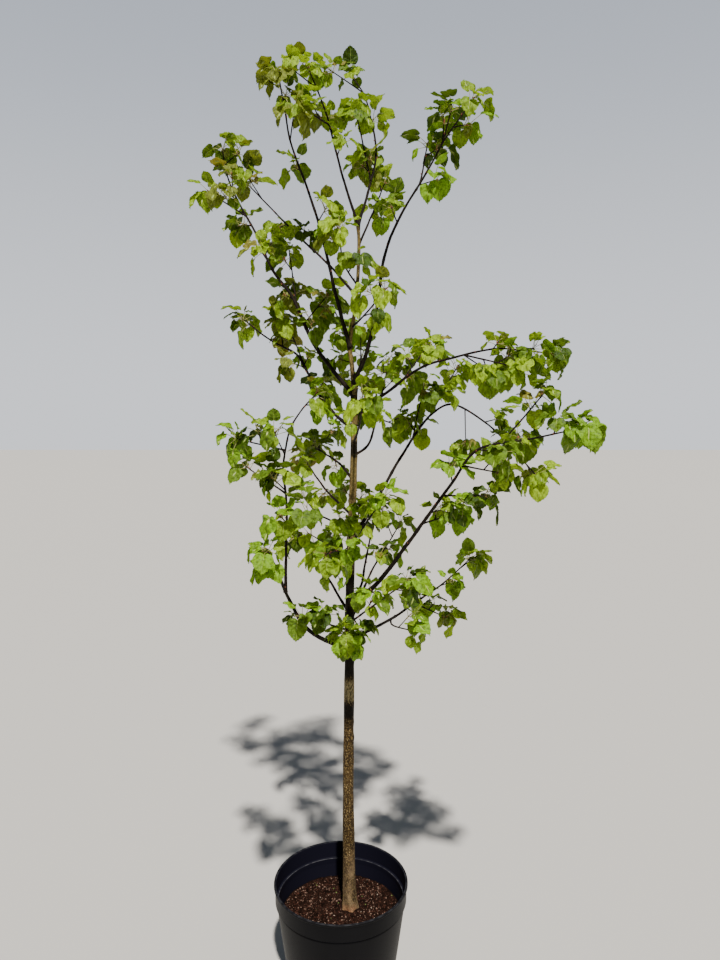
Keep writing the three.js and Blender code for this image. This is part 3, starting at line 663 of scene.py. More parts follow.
def speckled_finish(name, dark, light, roughness, specular=PLAIN_SPECULAR, fine=320.0, bump=0.5,
                    distance=0.0008):
    """A small piece's finish: mottled between two colours, with a fine grain."""
    finish = Finish(name)
    ground = finish.effect(mottling, Broad=60.0, Fine=fine)
    colour = finish.blend(ground["Mask"], dark, light)
    return finish.surface(colour, roughness, specular,
                          finish.bump(ground["Grain"], bump, distance))


# Where highlights and a bluish sky reflection are painted on the pot's plastic, in metres:
# heights, and distances from the axis
LIP_TOP = (0.3284, 0.3297)
LEDGE_RADIUS = (0.1892, 0.1878)
LEDGE_FOOT = (0.2772, 0.2782)
LEDGE_TOP = (0.2822, 0.2804)
COLLAR_INSIDE = (0.1948, 0.1940)
COLLAR_FOOT = (0.275, 0.277)
WALL_SLOPE = 0.1374
WALL_INSIDE = (0.1530, 0.1518)


def pot_finish():
    """Black moulded plastic, scuffed outside, with painted highlights on its lip and inner ledge
    and a painted bluish sky reflection inside.
    """
    finish = Finish("pot_plastic")
    ground = finish.effect(mottling, Broad=9.0, Fine=420.0)
    dust = finish.effect(settled_dust, Thick_at=0.0, Gone_at=0.26, Scale=34.0)["Mask"]
    drawn_out = finish.stretched(finish.place(), (1.0, 1.0, 0.12))
    scuffs = finish.reach(finish.noise(90.0, 8.0, 0.75, drawn_out), 0.66, 0.80)
    height = finish.axes(finish.place())["Z"]
    level = finish.stretched(finish.place(), (1.0, 1.0, 0.0))
    radius = finish.node("ShaderNodeVectorMath", {0: level}, operation="LENGTH").outputs["Value"]
    # Painted highlights: a pale line on the lip's top and on the inner ledge, broken into patches.
    ledge = finish.times(finish.reach(height, *LEDGE_FOOT), finish.reach(height, *LEDGE_TOP))
    ledge = finish.times(finish.reach(radius, *LEDGE_RADIUS), ledge)
    lip = finish.times(finish.reach(height, *LIP_TOP), 0.4)
    highlight_patches = finish.reach(finish.noise(26.0, 3.0), 0.42, 0.62, 0.25, 1.0)
    painted_highlight = finish.times(finish.reckon("MAXIMUM", lip, ledge), highlight_patches)
    # Painted reflection: the inside of the collar and of the wall below it take a bluish sky tint.
    sky_reflection_in_collar = finish.times(finish.reach(radius, *COLLAR_INSIDE),
                             finish.reach(height, *COLLAR_FOOT))
    drawn_in = finish.reckon("SUBTRACT", radius, finish.times(height, WALL_SLOPE))
    sky_reflection_in_wall = finish.times(finish.reach(drawn_in, *WALL_INSIDE),
                           finish.reach(height, *reversed(COLLAR_FOOT)))
    colour = finish.blend(ground["Mask"], (0.0018, 0.0018, 0.0026), (0.0034, 0.0034, 0.0044))
    # Painted bluish sky reflection inside the pot
    colour = finish.blend(finish.plus(sky_reflection_in_collar, sky_reflection_in_wall), colour, (0.0068, 0.0066, 0.0130))
    colour = finish.blend(finish.times(scuffs, 0.2), colour, (0.04, 0.04, 0.042))
    colour = finish.blend(finish.times(dust, 0.06), colour, (0.10, 0.08, 0.06))
    # Painted highlight on the lip and inner ledge
    colour = finish.blend(painted_highlight, colour, (0.060, 0.060, 0.068))
    rough = finish.plus(finish.reach(ground["Grain"], *GRAIN, 0.40, 0.52),
                        finish.times(painted_highlight, -0.10))
    return finish.surface(colour, rough, 0.09, finish.bump(ground["Grain"], 0.25, 0.0004))


bark_old = trunk_finish()
# The fork finish: darker bark with painted shade, where thick limbs leave the trunk.
bark_and_shade_fork = bark_finish("bark_and_shade_fork", (0.005, 0.003, 0.002), (0.026, 0.016, 0.008),
                        (0.16, 0.10, 0.05), 420.0, 0.34, 0.7)
bark_bough = bark_finish("bark_bough", (0.0035, 0.0026, 0.0022), (0.018, 0.012, 0.0075),
                         (0.11, 0.075, 0.042), 420.0, 0.34, 0.72)
bark_twig = bark_finish("bark_twig", (0.0045, 0.0030, 0.0024), (0.021, 0.0125, 0.0085),
                        (0.10, 0.062, 0.038), 600.0, 0.30, 0.66)
new_growth = speckled_finish("new_growth", (0.12, 0.085, 0.03), (0.22, 0.19, 0.05), 0.5)
stalk_green = speckled_finish("stalk_green", (0.26, 0.27, 0.06), (0.42, 0.40, 0.11), 0.45)
leaf_rib = speckled_finish("leaf_rib", (0.26, 0.34, 0.06), (0.40, 0.49, 0.10), 0.45)
leaf_tints = [leaf_finish(name, tint) for name, tint in TINTS.items()] + [leaf_rib]
bud_red = speckled_finish("bud_red", (0.16, 0.035, 0.02), (0.30, 0.08, 0.035), 0.4)
scale_red = speckled_finish("scale_red", (0.50, 0.12, 0.06), (0.62, 0.27, 0.11), 0.45)
pot_plastic = pot_finish()
compost_ground = speckled_finish("compost_ground", (0.006, 0.0026, 0.0016),
                                 (0.023, 0.0102, 0.0068), 0.95, 0.06, 240.0, 1.0, 0.003)
crumb_dark = speckled_finish("crumb_dark", (0.006, 0.0027, 0.0017), (0.026, 0.0118, 0.0078),
                             0.95, 0.06)
crumb_red = speckled_finish("crumb_red", (0.025, 0.0092, 0.0060), (0.070, 0.0275, 0.0180),
                            0.9, 0.08)
crumb_pale = speckled_finish("crumb_pale", (0.095, 0.048, 0.033), (0.245, 0.160, 0.120),
                             0.85, 0.15)
chip_pale = speckled_finish("chip_pale", (0.34, 0.24, 0.18), (0.62, 0.50, 0.40), 0.8)
moss_green = speckled_finish("moss_green", (0.06, 0.11, 0.02), (0.14, 0.20, 0.04), 0.8)


# Camera, light and floor

def stage_scene():
    camera = bpy.data.objects.new("front_camera", bpy.data.cameras.new("front_camera"))
    camera.location = Vector(CAMERA_PLACE) * MM
    camera.rotation_euler = (math.radians(90 - CAMERA_PITCH), 0, 0)
    camera.data.lens = CAMERA_LENS
    camera.data.sensor_width = CAMERA_SENSOR
    camera.data.clip_start, camera.data.clip_end = CAMERA_REACH
    sun = bpy.data.objects.new("sun", bpy.data.lights.new("sun", "SUN"))
    sun.data.energy = SUN_STRENGTH
    sun.data.angle = math.radians(SUN_SOFTNESS)
    sun.data.color = SUN_COLOUR
    height, turn = math.radians(SUN_HEIGHT), math.radians(SUN_TURN)
    towards = Vector((math.sin(turn) * math.cos(height), -math.cos(turn) * math.cos(height),
                      math.sin(height)))
    sun.rotation_euler = towards.to_track_quat("Z", "Y").to_euler()
    world = bpy.data.worlds.new("soft_sky")
    world.use_nodes = True
    sky = Finish("soft_sky", world.node_tree)
    height = sky.axes(sky.node("ShaderNodeTexCoord").outputs["Generated"])["Z"]
    backdrop = sky.blend(sky.reach(height, *SKY_FADE), SKY_LOW, SKY_HIGH)
    seen = sky.node("ShaderNodeLightPath").outputs["Is Camera Ray"]
    sky.feed(world.node_tree.nodes["Background"], "Color", sky.blend(seen, FILL_COLOUR, backdrop))
    bpy.context.scene.world = world
    floor_mesh = bpy.data.meshes.new("floor")
    half = FLOOR_SIZE / 2
    floor_mesh.from_pydata([(-half, -half, 0), (half, -half, 0), (half, half, 0), (-half, half, 0)],
                           [], [(0, 1, 2, 3)])
    floor = bpy.data.objects.new("floor", floor_mesh)
    floor_finish = Finish("floor")
    tone = floor_finish.reach(floor_finish.noise(3.0, 4.0), 0.2, 0.8, 0.92, 1.0)
    shade = floor_finish.blend(tone, FLOOR_SHADE, FLOOR_COLOUR)
    floor_mesh.materials.append(floor_finish.surface(shade, 0.9))
    for made in (camera, sun, floor):
        bpy.context.scene.collection.objects.link(made)
    bpy.context.scene.camera = camera


stage_scene()


# Pot

def inner_pot_radius(height):
    """The pot's inside radius below its shoulder."""
    shoulder = POT_HEIGHT - POT_COLLAR_DEPTH - POT_FOOT_ROUNDING
    share = (height - POT_FOOT_ROUNDING) / (shoulder - POT_FOOT_ROUNDING)
    return mix([POT_FOOT, POT_SHOULDER], share) - POT_WALL


def rounded(profile):
    """A profile of (radius, height, rounding) with each corner turned into a short curve."""
    points = []
    for index, (radius, height, rounding) in enumerate(profile):
        corner = np.array([radius, height], float)
        if rounding == 0 or index in (0, len(profile) - 1):
            points.append(corner)
            continue
        before = unit(np.array(profile[index - 1][:2], float) - corner)
        after = unit(np.array(profile[index + 1][:2], float) - corner)
        start, end = corner + before * rounding, corner + after * rounding
        points += [drawn(start, corner, end, share) for share in np.linspace(0, 1, 5)]
    return np.array(points)


def lathe(profile, sides):
    """A closed skin of revolution; the profile begins and ends on the axis."""
    turns = turns_round(sides)
    middle = profile[1:-1]
    rings = np.stack([middle[:, :1] * np.cos(turns), middle[:, :1] * np.sin(turns),
                      np.repeat(middle[:, 1:], sides, axis=1)], axis=-1)
    return closed_rings(rings, (0, 0, profile[0][1]), (0, 0, profile[-1][1]))


def make_pot():
    collar_foot = POT_HEIGHT - POT_COLLAR_DEPTH
    shoulder = collar_foot - POT_FOOT_ROUNDING
    inside_collar = POT_COLLAR - POT_WALL
    flat = POT_FOOT - POT_FOOT_ROUNDING - 20
    profile = rounded([
        (0, 0, 0),
        (flat, 0, 0),
        (POT_FOOT - 1, 0, POT_FOOT_ROUNDING - 1),
        (mix([POT_FOOT, POT_SHOULDER], 0.5), shoulder / 2, 0.1),
        (POT_SHOULDER, shoulder - 2, 1.5),
        (POT_SHOULDER - 2, collar_foot - 4, 1.0),
        (POT_SHOULDER - 1.5, collar_foot - 1.0, 0.6),
        (POT_COLLAR, collar_foot - 0.6, 0.6),
        (POT_COLLAR, POT_HEIGHT - 9, 1.2),
        (POT_RIM, POT_HEIGHT - 6.5, 1.6),
        (POT_RIM, POT_HEIGHT, 1.8),
        (inside_collar, POT_HEIGHT, 1.6),
        (inside_collar, collar_foot + 1.4, 0.9),
        (inner_pot_radius(shoulder) - 1.5, collar_foot + 0.4, 0.9),
        (inner_pot_radius(shoulder) - 1.5, shoulder - 8, 1.0),
        (inner_pot_radius(shoulder / 2), shoulder / 2, 0.1),
        (POT_FOOT - POT_WALL - 1, POT_WALL, POT_FOOT_ROUNDING - 2),
        (flat, POT_WALL, 0),
        (0, POT_WALL, 0),
    ])
    skin = Skin()
    skin.add(*lathe(profile, POT_SIDES))
    pot = skin.piece("pot_shell", [pot_plastic], "pot_plastic", ["pot"])
    drills = Skin()
    for hole in range(DRAIN_HOLES):
        turn = 2 * math.pi * (hole + 0.5) / DRAIN_HOLES
        x, y = DRAIN_CIRCLE * math.cos(turn), DRAIN_CIRCLE * math.sin(turn)
        centres = [(x, y, height) for height in DRILL_HEIGHTS]
        drills.add(*tube(centres, [DRAIN_HOLE_RADIUS] * len(centres), DRILL_SIDES))
    cutter = drills.piece("drain_drills", [], "pot_plastic")
    cut = pot.modifiers.new("drain_holes", "BOOLEAN")
    cut.operation = "DIFFERENCE"
    cut.solver = "EXACT"
    cut.object = cutter
    bpy.context.view_layer.update()
    drilled = bpy.data.meshes.new_from_object(
        pot.evaluated_get(bpy.context.evaluated_depsgraph_get()))
    pot.modifiers.clear()
    pot.data = drilled
    bpy.data.objects.remove(cutter)


make_pot()


# Compost

foot_height, foot_x, foot_y = TRUNK_STATIONS[0][:3]
lump_chance = np.random.default_rng(LUMP_SEED)


def compost_height(x, y):
    """The height of the compost: heaped at the trunk, and lumpy all over."""
    heap = COMPOST_MOUND * np.exp(-((x - foot_x) ** 2 + (y - foot_y) ** 2) / COMPOST_SPREAD ** 2)
    broad = 2.5 * np.sin(x / 23) * np.cos(y / 31)
    lumps = (1.3 * np.sin(x / 6.1 + y / 9.7) * np.sin(y / 5.3 - x / 13)
             + 0.8 * np.sin(x / 2.9 + 1.3) * np.sin(y / 3.3 + 0.4))
    return np.minimum(foot_height + HEAP_ABOVE_FOOT, COMPOST_EDGE + heap + broad + lumps)


def make_compost():
    top_radius = inner_pot_radius(COMPOST_EDGE - COMPOST_SAG) - COMPOST_GAP
    turns = turns_round(COMPOST_SIDES)
    low = POT_WALL + COMPOST_LIFT
    foot = POT_FOOT_ROUNDING + COMPOST_LIFT
    profile = [(POT_FOOT - POT_FOOT_ROUNDING - COMPOST_GAP, low),
               (inner_pot_radius(foot) - COMPOST_GAP, foot),
               (inner_pot_radius(COMPOST_MIDDLE) - COMPOST_GAP, COMPOST_MIDDLE)]
    rings = [np.stack([radius * np.cos(turns), radius * np.sin(turns),
                       np.full(COMPOST_SIDES, height)], axis=1) for radius, height in profile]
    for ring in range(COMPOST_RINGS, 0, -1):
        radius = top_radius * ring / COMPOST_RINGS
        x, y = radius * np.cos(turns), radius * np.sin(turns)
        rings.append(np.stack([x, y, compost_height(x, y)], axis=1))
    skin = Skin()
    skin.add(*closed_rings(np.array(rings), (0, 0, low), (0, 0, compost_height(0.0, 0.0))))
    skin.piece("compost_heap", [compost_ground], "compost", ["root_ball"])


# A lump has twelve corners, one unit from its middle, and an edge between any two neighbours.
GOLD = (1 + math.sqrt(5)) / 2
LUMP_CORNERS = [(s, t * GOLD, 0) for s in (1, -1) for t in (1, -1)]
LUMP_POINTS = np.array([np.roll(corner, turn) for turn in range(3)
                        for corner in LUMP_CORNERS]) / math.sqrt(1 + GOLD ** 2)
LUMP_EDGE = 1.1


def lump_faces():
    """The twenty faces of a lump, turned outward."""
    faces = []
    for a, b, c in itertools.combinations(range(len(LUMP_POINTS)), 3):
        p, q, r = LUMP_POINTS[[a, b, c]]
        if max(np.linalg.norm(p - q), np.linalg.norm(q - r), np.linalg.norm(r - p)) < LUMP_EDGE:
            outward = np.cross(q - p, r - p).dot(p + q + r) > 0
            faces.append((a, b, c) if outward else (a, c, b))
    return np.array(faces)


def scatter_lumps(name, materials, slots, count, sizes, lengths, thicks, sunk):
    """Lumps of random sizes and turns lying on the compost. lengths and thicks are shares of a
    lump's size, and each lump's material is drawn from slots."""
    faces = lump_faces()
    skin = Skin()
    reach = inner_pot_radius(COMPOST_EDGE) - COMPOST_GAP - LUMPS_OFF_WALL
    for _ in range(count):
        radius = reach * math.sqrt(lump_chance.random())
        turn = lump_chance.random() * 2 * math.pi
        x, y = radius * math.cos(turn), radius * math.sin(turn)
        if math.hypot(x - foot_x, y - foot_y) < LUMPS_OFF_TRUNK:
            continue
        size = mix(sizes, lump_chance.random() ** LUMP_SMALLNESS)
        length = size * mix(lengths, lump_chance.random())
        thin = size * mix(thicks, lump_chance.random())
        spin = lump_chance.random() * math.pi
        tilt = lump_chance.normal(0, LUMP_TILT, 2)
        shape = LUMP_POINTS * (1 + lump_chance.normal(0, LUMP_UNEVENNESS, LUMP_POINTS.shape))
        shape = shape * (length / 2, size / 2, thin / 2)
        along, cross = math.cos(spin), math.sin(spin)
        x_part = shape[:, 0] * along - shape[:, 1] * cross
        y_part = shape[:, 0] * cross + shape[:, 1] * along
        z_part = shape[:, 2] + x_part * tilt[0] + y_part * tilt[1]
        height = compost_height(x, y) + thin * (0.5 - sunk)
        slot = slots[int(lump_chance.choice(len(slots)))]
        skin.add(np.stack([x + x_part, y + y_part, height + z_part], axis=1), faces, slot=slot)
    skin.piece(name, materials, "compost")


make_compost()
scatter_lumps("compost_crumbs", [crumb_dark, crumb_red, crumb_pale], [0] * 6 + [1] * 3 + [2],
              CRUMBS, sizes=[1.8, 5.8], lengths=[1.0, 1.7], thicks=[0.6, 1.0], sunk=0.30)
scatter_lumps("bark_chips", [chip_pale, crumb_pale, crumb_red], [0, 1, 1, 2],
              CHIPS, sizes=[1.2, 3.2], lengths=[1.8, 4.2], thicks=[0.25, 0.5], sunk=0.1)
scatter_lumps("moss_specks", [moss_green], [0],
              MOSS_TUFTS, sizes=[2.5, 6.0], lengths=[1.0, 1.4], thicks=[0.4, 0.7], sunk=0.2)


# Trunk

TRUNK_SEED = 91
TRUNK_PARTS = 12
TRUNK_SUNK = 6
TRUNK_CAP = 2
RELIEF_SIZES = (0.030, 0.018, 0.012, 0.010, 0.007)
RELIEF_WAVES = 6
RELIEF_LENGTH = [14, 120]
LIMB_START = 0.02
SWELLING_WIDTH = 1.3
FORK_SWELLING = 2.4
THIN_FORK_SWELLING = 1.4
THIN_FORK_THICKNESS = 6
FORK_SWELLING_HEIGHT = 15
SCARS = 12
SCAR_PLACES = [420, 1020]
SCAR_SWELLING = [0.7, 1.8]
SCAR_HEIGHT = 9

trunk_line = Line([(x, y, height) for height, x, y, _ in TRUNK_STATIONS])
trunk_points = np.array([trunk_line.at_step(step) for step in
                         np.linspace(0, 1, len(TRUNK_STATIONS) * TRUNK_PARTS + 1)])
station_heights = [station[0] for station in TRUNK_STATIONS]
station_thickness = [station[3] for station in TRUNK_STATIONS]


def trunk_point(height):
    return np.array([np.interp(height, trunk_points[:, 2], trunk_points[:, axis])
                     for axis in range(3)])


def trunk_radius(heights):
    return np.interp(heights, station_heights, station_thickness) / 2


def limb_root(limb):
    if limb.on_trunk:
        return trunk_point(limb.foot)
    carrier, share = limb.foot
    return next(other for other in LIMBS if other.name == carrier).line.at(share)


for limb in LIMBS:
    limb.line = Line([limb_root(limb), *limb.places, limb.tip])


def turn_from(turns, way):
    """How far each turn is from a direction, from -pi to pi."""
    return (turns - math.atan2(way[1], way[0]) + math.pi) % (2 * math.pi) - math.pi


def trunk_relief(heights, turns, chance):
    """Long waves of several sizes, as shares of the radius."""
    relief = np.zeros((len(heights), len(turns)))
    for size in RELIEF_SIZES:
        waves = 1 + int(chance() * RELIEF_WAVES)
        length = mix(RELIEF_LENGTH, chance())
        relief += size * np.sin(waves * turns[None, :] + heights[:, None] / length
                                + 2 * math.pi * chance())
    return relief


def trunk_swellings(chance):
    """Where limbs leave the trunk, and old scars: height, direction, swelling and its height."""
    swellings = []
    for limb in LIMBS:
        if limb.on_trunk:
            thin = limb.thick[0] <= THIN_FORK_THICKNESS
            swellings.append((limb.foot, limb.line.way(LIMB_START),
                              THIN_FORK_SWELLING if thin else FORK_SWELLING,
                              FORK_SWELLING_HEIGHT))
    for _ in range(SCARS):
        turn = 2 * math.pi * chance()
        swellings.append((mix(SCAR_PLACES, chance()), (math.cos(turn), math.sin(turn)),
                          mix(SCAR_SWELLING, chance()), SCAR_HEIGHT))
    return swellings


def fork_dark_bark_and_shade(heights, turns):
    """Which faces of the trunk take the fork finish, darker bark with painted shade: ragged wedges
    that rise from each thick limb's foot.
    """
    middle = (heights[:-1] + heights[1:])[:, None] / 2
    facing = (turns + math.pi / len(turns))[None, :]
    ragged = (RAGGED_UP * np.sin(middle / 3.1)
              + RAGGED_ROUND * np.sin(facing * 9 + middle / 5.3))
    dark = np.zeros((len(heights) - 1, len(turns)), int)
    for limb in LIMBS:
        if limb.on_trunk and limb.thick[0] >= DARK_FORK_THICKNESS:
            off = turn_from(facing, limb.line.way(LIMB_START))
            climb = (middle - limb.foot + DARK_FORK_SUNK) / DARK_FORK_HEIGHT
            dark |= (climb > 0) & (np.abs(off) / DARK_FORK_SPREAD + climb + ragged < 1)
    return dark


def make_trunk():
    top = station_heights[-1]
    steps = int((top - foot_height) / TRUNK_STEP)
    heights = np.concatenate([[foot_height - TRUNK_SUNK],
                              np.linspace(foot_height, top + TRUNK_CAP, steps)])
    centres = np.array([trunk_point(height) for height in heights])
    centres[:, 2] = heights
    turns = turns_round(TRUNK_SIDES)
    chance = Chance(TRUNK_SEED)
    fade = np.clip(1 - (heights - foot_height) / FLARE_HEIGHT, 0, 1)[:, None] ** 2
    lobes = 1 + FLARE_DEPTH * fade * np.cos(FLARE_LOBES * turns + FLARE_TURN)
    radii = trunk_radius(heights)[:, None] * lobes * (1 + trunk_relief(heights, turns, chance))
    for height, way, swelling, spread in trunk_swellings(chance):
        around = np.exp(-(turn_from(turns, way) * SWELLING_WIDTH) ** 2)[None, :]
        radii += swelling * around * np.exp(-((heights - height) / spread) ** 2)[:, None]
    points, walls, ends = tube(centres, radii, TRUNK_SIDES)
    skin = Skin()
    skin.add(points, walls, ends, slot=(fork_dark_bark_and_shade(heights, turns).ravel(), 0))
    skin.piece("trunk_bark", [bark_old, bark_and_shade_fork], "bark", ["trunk"])


make_trunk()


# Boughs and twigs

BOUGH_SEED = 500
STOUT_BOUGH = 9
KNOT_SWELLING = 0.14
KNOT_REACH = 4
KNOT_BEND = 0.5
KNOT_BEND_FADE = 40
UNEVENNESS = 0.035
UNEVENNESS_WAVES = 5.1
UNEVENNESS_PHASE = 6.0
BUD_LENGTH = [4.5, 6.5]
BUD_THICK = 3.2
BUD_TURN = [-0.5, 0.5]
BUD_SUNK = 0.5
BUD_OUTWARD = 0.6
FIRST_BUD = 0.25
LAST_BUD = 0.97
BUD_SHARES = np.array([0.0, 0.15, 0.4, 0.7, 0.92])
BUD_WIDTHS = np.array([0.55, 0.9, 1.0, 0.62, 0.18])
SMALL_SIDES = 6


def limb_radius(line, thick, share):
    collar = LIMB_COLLAR * np.exp(-share * line.length / LIMB_COLLAR_LENGTH)
    return mix(thick, share ** LIMB_TAPER) / 2 * (1 + collar)


def knotty_tube(line, thick, start, end, sides, step, chance):
    """A limb's skin from one share of its length to another, with a swelling and a slight turn
    at each bud."""
    reach = line.length * (end - start)
    shares = np.linspace(start, end, max(3, int(reach / step) + 1))
    centres = np.array([line.at(share) for share in shares])
    along = shares * max(1, int(line.length / BUD_SPACING))
    off_knot = (along - np.round(along)) * BUD_SPACING
    swelling = 1 + KNOT_SWELLING * np.exp(-(off_knot / KNOT_REACH) ** 2)
    level, rising = square_to(line.way(0.5))
    sway = KNOT_BEND * np.sin(math.pi * along)[:, None]
    fade = np.clip((shares - start) * line.length / KNOT_BEND_FADE, 0, 1)[:, None]
    centres = centres + sway * fade * spoke(level, rising, 2 * math.pi * chance())
    uneven = 1 + UNEVENNESS * np.sin(along * UNEVENNESS_WAVES + UNEVENNESS_PHASE * chance())
    return tube(centres, limb_radius(line, thick, shares) * swelling * uneven, sides)


def spindle(root, way, length, thick):
    """A small pointed bud."""
    centres = [root + way * length * share for share in BUD_SHARES]
    return tube(centres, BUD_WIDTHS * thick / 2, SMALL_SIDES)


buds = Skin()
boughs = Skin()
twigs = Skin()


def add_buds(line, thick, start, end, chance):
    """Buds in turn on both sides of a limb."""
    count = int(line.length * (end - start) / BUD_SPACING)
    for index in range(count):
        share = start + (end - start) * (index + 0.5) / count
        side = spoke(*square_to(line.way(share)), math.pi * index + mix(BUD_TURN, chance()))
        root = line.at(share) + side * (limb_radius(line, thick, share) - BUD_SUNK)
        way = unit(side * BUD_OUTWARD + line.way(share))
        buds.add(*spindle(root, way, mix(BUD_LENGTH, chance()), BUD_THICK))


for number, limb in enumerate(LIMBS):
    if limb.bare > 0:
        chance = Chance(BOUGH_SEED + number)
        skin_parts = knotty_tube(limb.line, limb.thick, 0, limb.bare, LIMB_SIDES, LIMB_STEP, chance)
        boughs.add(*skin_parts, slot=0 if limb.thick[0] > STOUT_BOUGH else 1)
        add_buds(limb.line, limb.thick, FIRST_BUD, limb.bare, chance)
boughs.piece("bough_bark", [bark_bough, bark_twig], "young_bark",
             ["bough_" + limb.name for limb in LIMBS if limb.bare > 0])


# Foliage

EXTRA_SEED = 900
LEAF_FORM_SEED = 7

# The outline of half a leaf from its stalk to its tip: across and along, as shares of its length.
LEAF_EDGE = [(0.0, 0.0), (0.07, -0.07), (0.18, -0.11), (0.32, -0.08), (0.44, 0.02),
             (0.52, 0.15), (0.545, 0.30), (0.525, 0.45), (0.465, 0.585), (0.375, 0.70),
             (0.27, 0.79), (0.165, 0.86), (0.085, 0.91), (0.032, 0.955), (0.0, 1.0)]
LEAF_EDGE_POINTS = 20
LEAF_ROWS = [0.0, 0.42, 0.82, 1.0]
LEAF_FORMS = 11
# The range of each trait of a leaf's form, as shares of its length
LEAF_TRAITS = {
    "fold": [0.02, 0.48],
    "arch": [0.04, 0.42],
    "wave": [0.02, 0.085],
    "pleat": [0.055, 0.105],
    "curl": [0.1, 0.55],
    "buckle": [0.04, 0.11],
}
LEAF_LEAN = [0.96, 1.04]
FIRST_EDGE_POINT = 0.02
TOOTH = 0.022
NOTCH = -0.006
TOOTH_SLANT = 0.6
PLEAT_EVERY = 3
PLEAT_SPREAD = 1.1
PLEAT_EASED = 0.4
RIPPLES = 3.0
DENTS_ALONG = 9
DENTS_ACROSS = 7
DENTS_APART = 1.3
RIB_WIDTH = [0.012, 0.002]
VEIN_STEP = 0.012
VEIN_SLANT = 0.52
LAST_VEIN = 0.97
TIP_VEIN = 0.985
SIDE_PHASE = 1.7

LEAF_WIDTH = [0.86, 1.03]
LEAF_REACH = [0.80, 1.0]
LEAF_CLEARANCE = 3.0
LEAF_PROBES = [(0.25, 0), (0.6, 0), (0.3, 0.35), (0.3, -0.35), (0.95, 0)]
LIMB_PROBE_STEP = 12
STALK_RISE = [0.35, 0.75]
STALK_LENGTH = [0.36, 0.48]
STALK_LIFT = 0.03
STALK_SWAY = [-0.04, 0.04]
STALK_OVERLAP = 0.03
STALK_RADII = [1.25, 0.8, 0.72, 0.74, 0.8, 0.4]
STALK_SIDES = 5

SCALE_SHARES = np.array([0.0, 0.35, 0.7, 1.0])
SCALE_WIDTH = 0.55
SCALE_WIDTHS = np.array([0.25, 0.5, 0.38, 0.04]) * SCALE_WIDTH
SCALE_CUP = np.array([0.0, 0.06, 0.05, -0.04])
SCALE_THICK = 0.4
SCALE_ENDS = np.array([(0, 1, 2, 3), (15, 14, 13, 12)])

TIP_BUD = (5, 2.6)
TWIG_BUD = (3.6, 2.0)
NEW_GROWTH_ROWS = 2.4
NEW_GROWTH_OVER = 2
NEW_GROWTH_BOW = 0.3
SIDE_TWIG_FORWARD = 0.9
SIDE_TWIG_LIFT = 0.15
SIDE_TWIG_BOW = 0.8
SHOOT_BOW = [-1.5, 2.5]
SHOOT_RADII = [1.9, 1.25]
NEW_GROWTH_RADII = [1.45, 1.6, 1.3, 1.1, 0.9]
SIDE_TWIG_RADII = [1.2, 0.95, 0.85, 0.8, 0.6]
MAIN_TINT_SHARE = 0.62
TWIG_MAIN_TINT_SHARE = 0.5
SMALL_LEAVES_UNDER = 4
SMALL_LEAF_LENGTH = [42, 72]
SMALL_LEAF_FORWARD = [0, 0.9]
SMALL_LEAF_PLACE = [2, 18]
SMALL_LEAF_ROLL = 1.6
SECOND_TWIG_SHARE = 0.55
SIDE_TWIG_PLACE = [1.2, 2.4]
SIDE_TWIG_LENGTH = [13, 27]
TWIG_THIRD_LEAF_SHARE = 0.35
TWIG_LEAF_LENGTH = [36, 58]
TWIG_LEAF_DROOP = [0.2, 0.9]
TWIG_LEAF_FORWARD = 0.8
TWIG_LEAF_STRAY = 0.3
TWIG_LEAF_GAP = 4
SCALED_TUFT_SHARE = 0.6
FEWEST_SCALES = 2
MORE_SCALES_UNDER = 3
SCALE_FORWARD = 0.9
SCALE_PLACE = [0, 14]
SCALE_LENGTH = [6, 11]


def grow_tuft(end, shoot_way, random):
    """The leaves round the end of a shoot, as the part places them."""
    level, rising = square_to(shoot_way)
    spin = 2 * math.pi * random()
    extra_side = int(3 * random())
    places = [(2, 0), (2, 1), (2, 2), (3, 0), (1, extra_side)]
    if random() < SECOND_EXTRA_SHARE:
        places.append((1, (extra_side + 1) % 3))
    leaves = []
    for row, side in places:
        outward = spoke(level, rising, spin if row == 3 else spin + 2 * math.pi * (side + 0.5) / 3)
        droop = mix(LEAF_DROOP, random()) * (1 - LEAF_DROOP_EASED * max(0, outward[2]))
        way = unit(outward + shoot_way * LEAF_FORWARD[row] - UP * droop)
        across, face = square_to(way)
        face = spoke(face, across, mix(LEAF_ROLL, random()))
        root = end + shoot_way * (row - 3) * KNOB_ROW
        leaves.append((root, way, face, mix(LEAF_LENGTH, random())))
    return leaves


def grow_shoots(line, start, random):
    """The shoots of one stem with their tufts, as the part places them."""
    length = line.length * (1 - start)
    count = max(1, round(length / TUFT_SPACING))
    first_turn = 2 * math.pi * random()
    shoots = []
    for index in range(count):
        share = start + (1 - start) * (index + mix(SHOOT_PLACE, random())) / count
        turn = first_turn + index * GOLDEN_ANGLE
        stem_way = line.way(share)
        level, rising = square_to(stem_way)
        way = unit(stem_way * SHOOT_FORWARD + spoke(level, rising, turn) + UP * SHOOT_LIFT)
        is_long = index % LONG_SHOOT_EVERY == LONG_SHOOT_EVERY - 2
        reach = mix(LONG_SHOOT_LENGTH if is_long else SPUR_LENGTH, random())
        shoots.append((line.at(share), way, reach))
    tip_way = line.way(1)
    shoots.append((line.at(1) - tip_way * SHOOT_THICK, tip_way, SHOOT_THICK + 2 * KNOB_ROW))
    grown = []
    for root, way, reach in shoots:
        end = root + way * reach
        grown.append((root, end, way, grow_tuft(end, way, random)))
    return grown


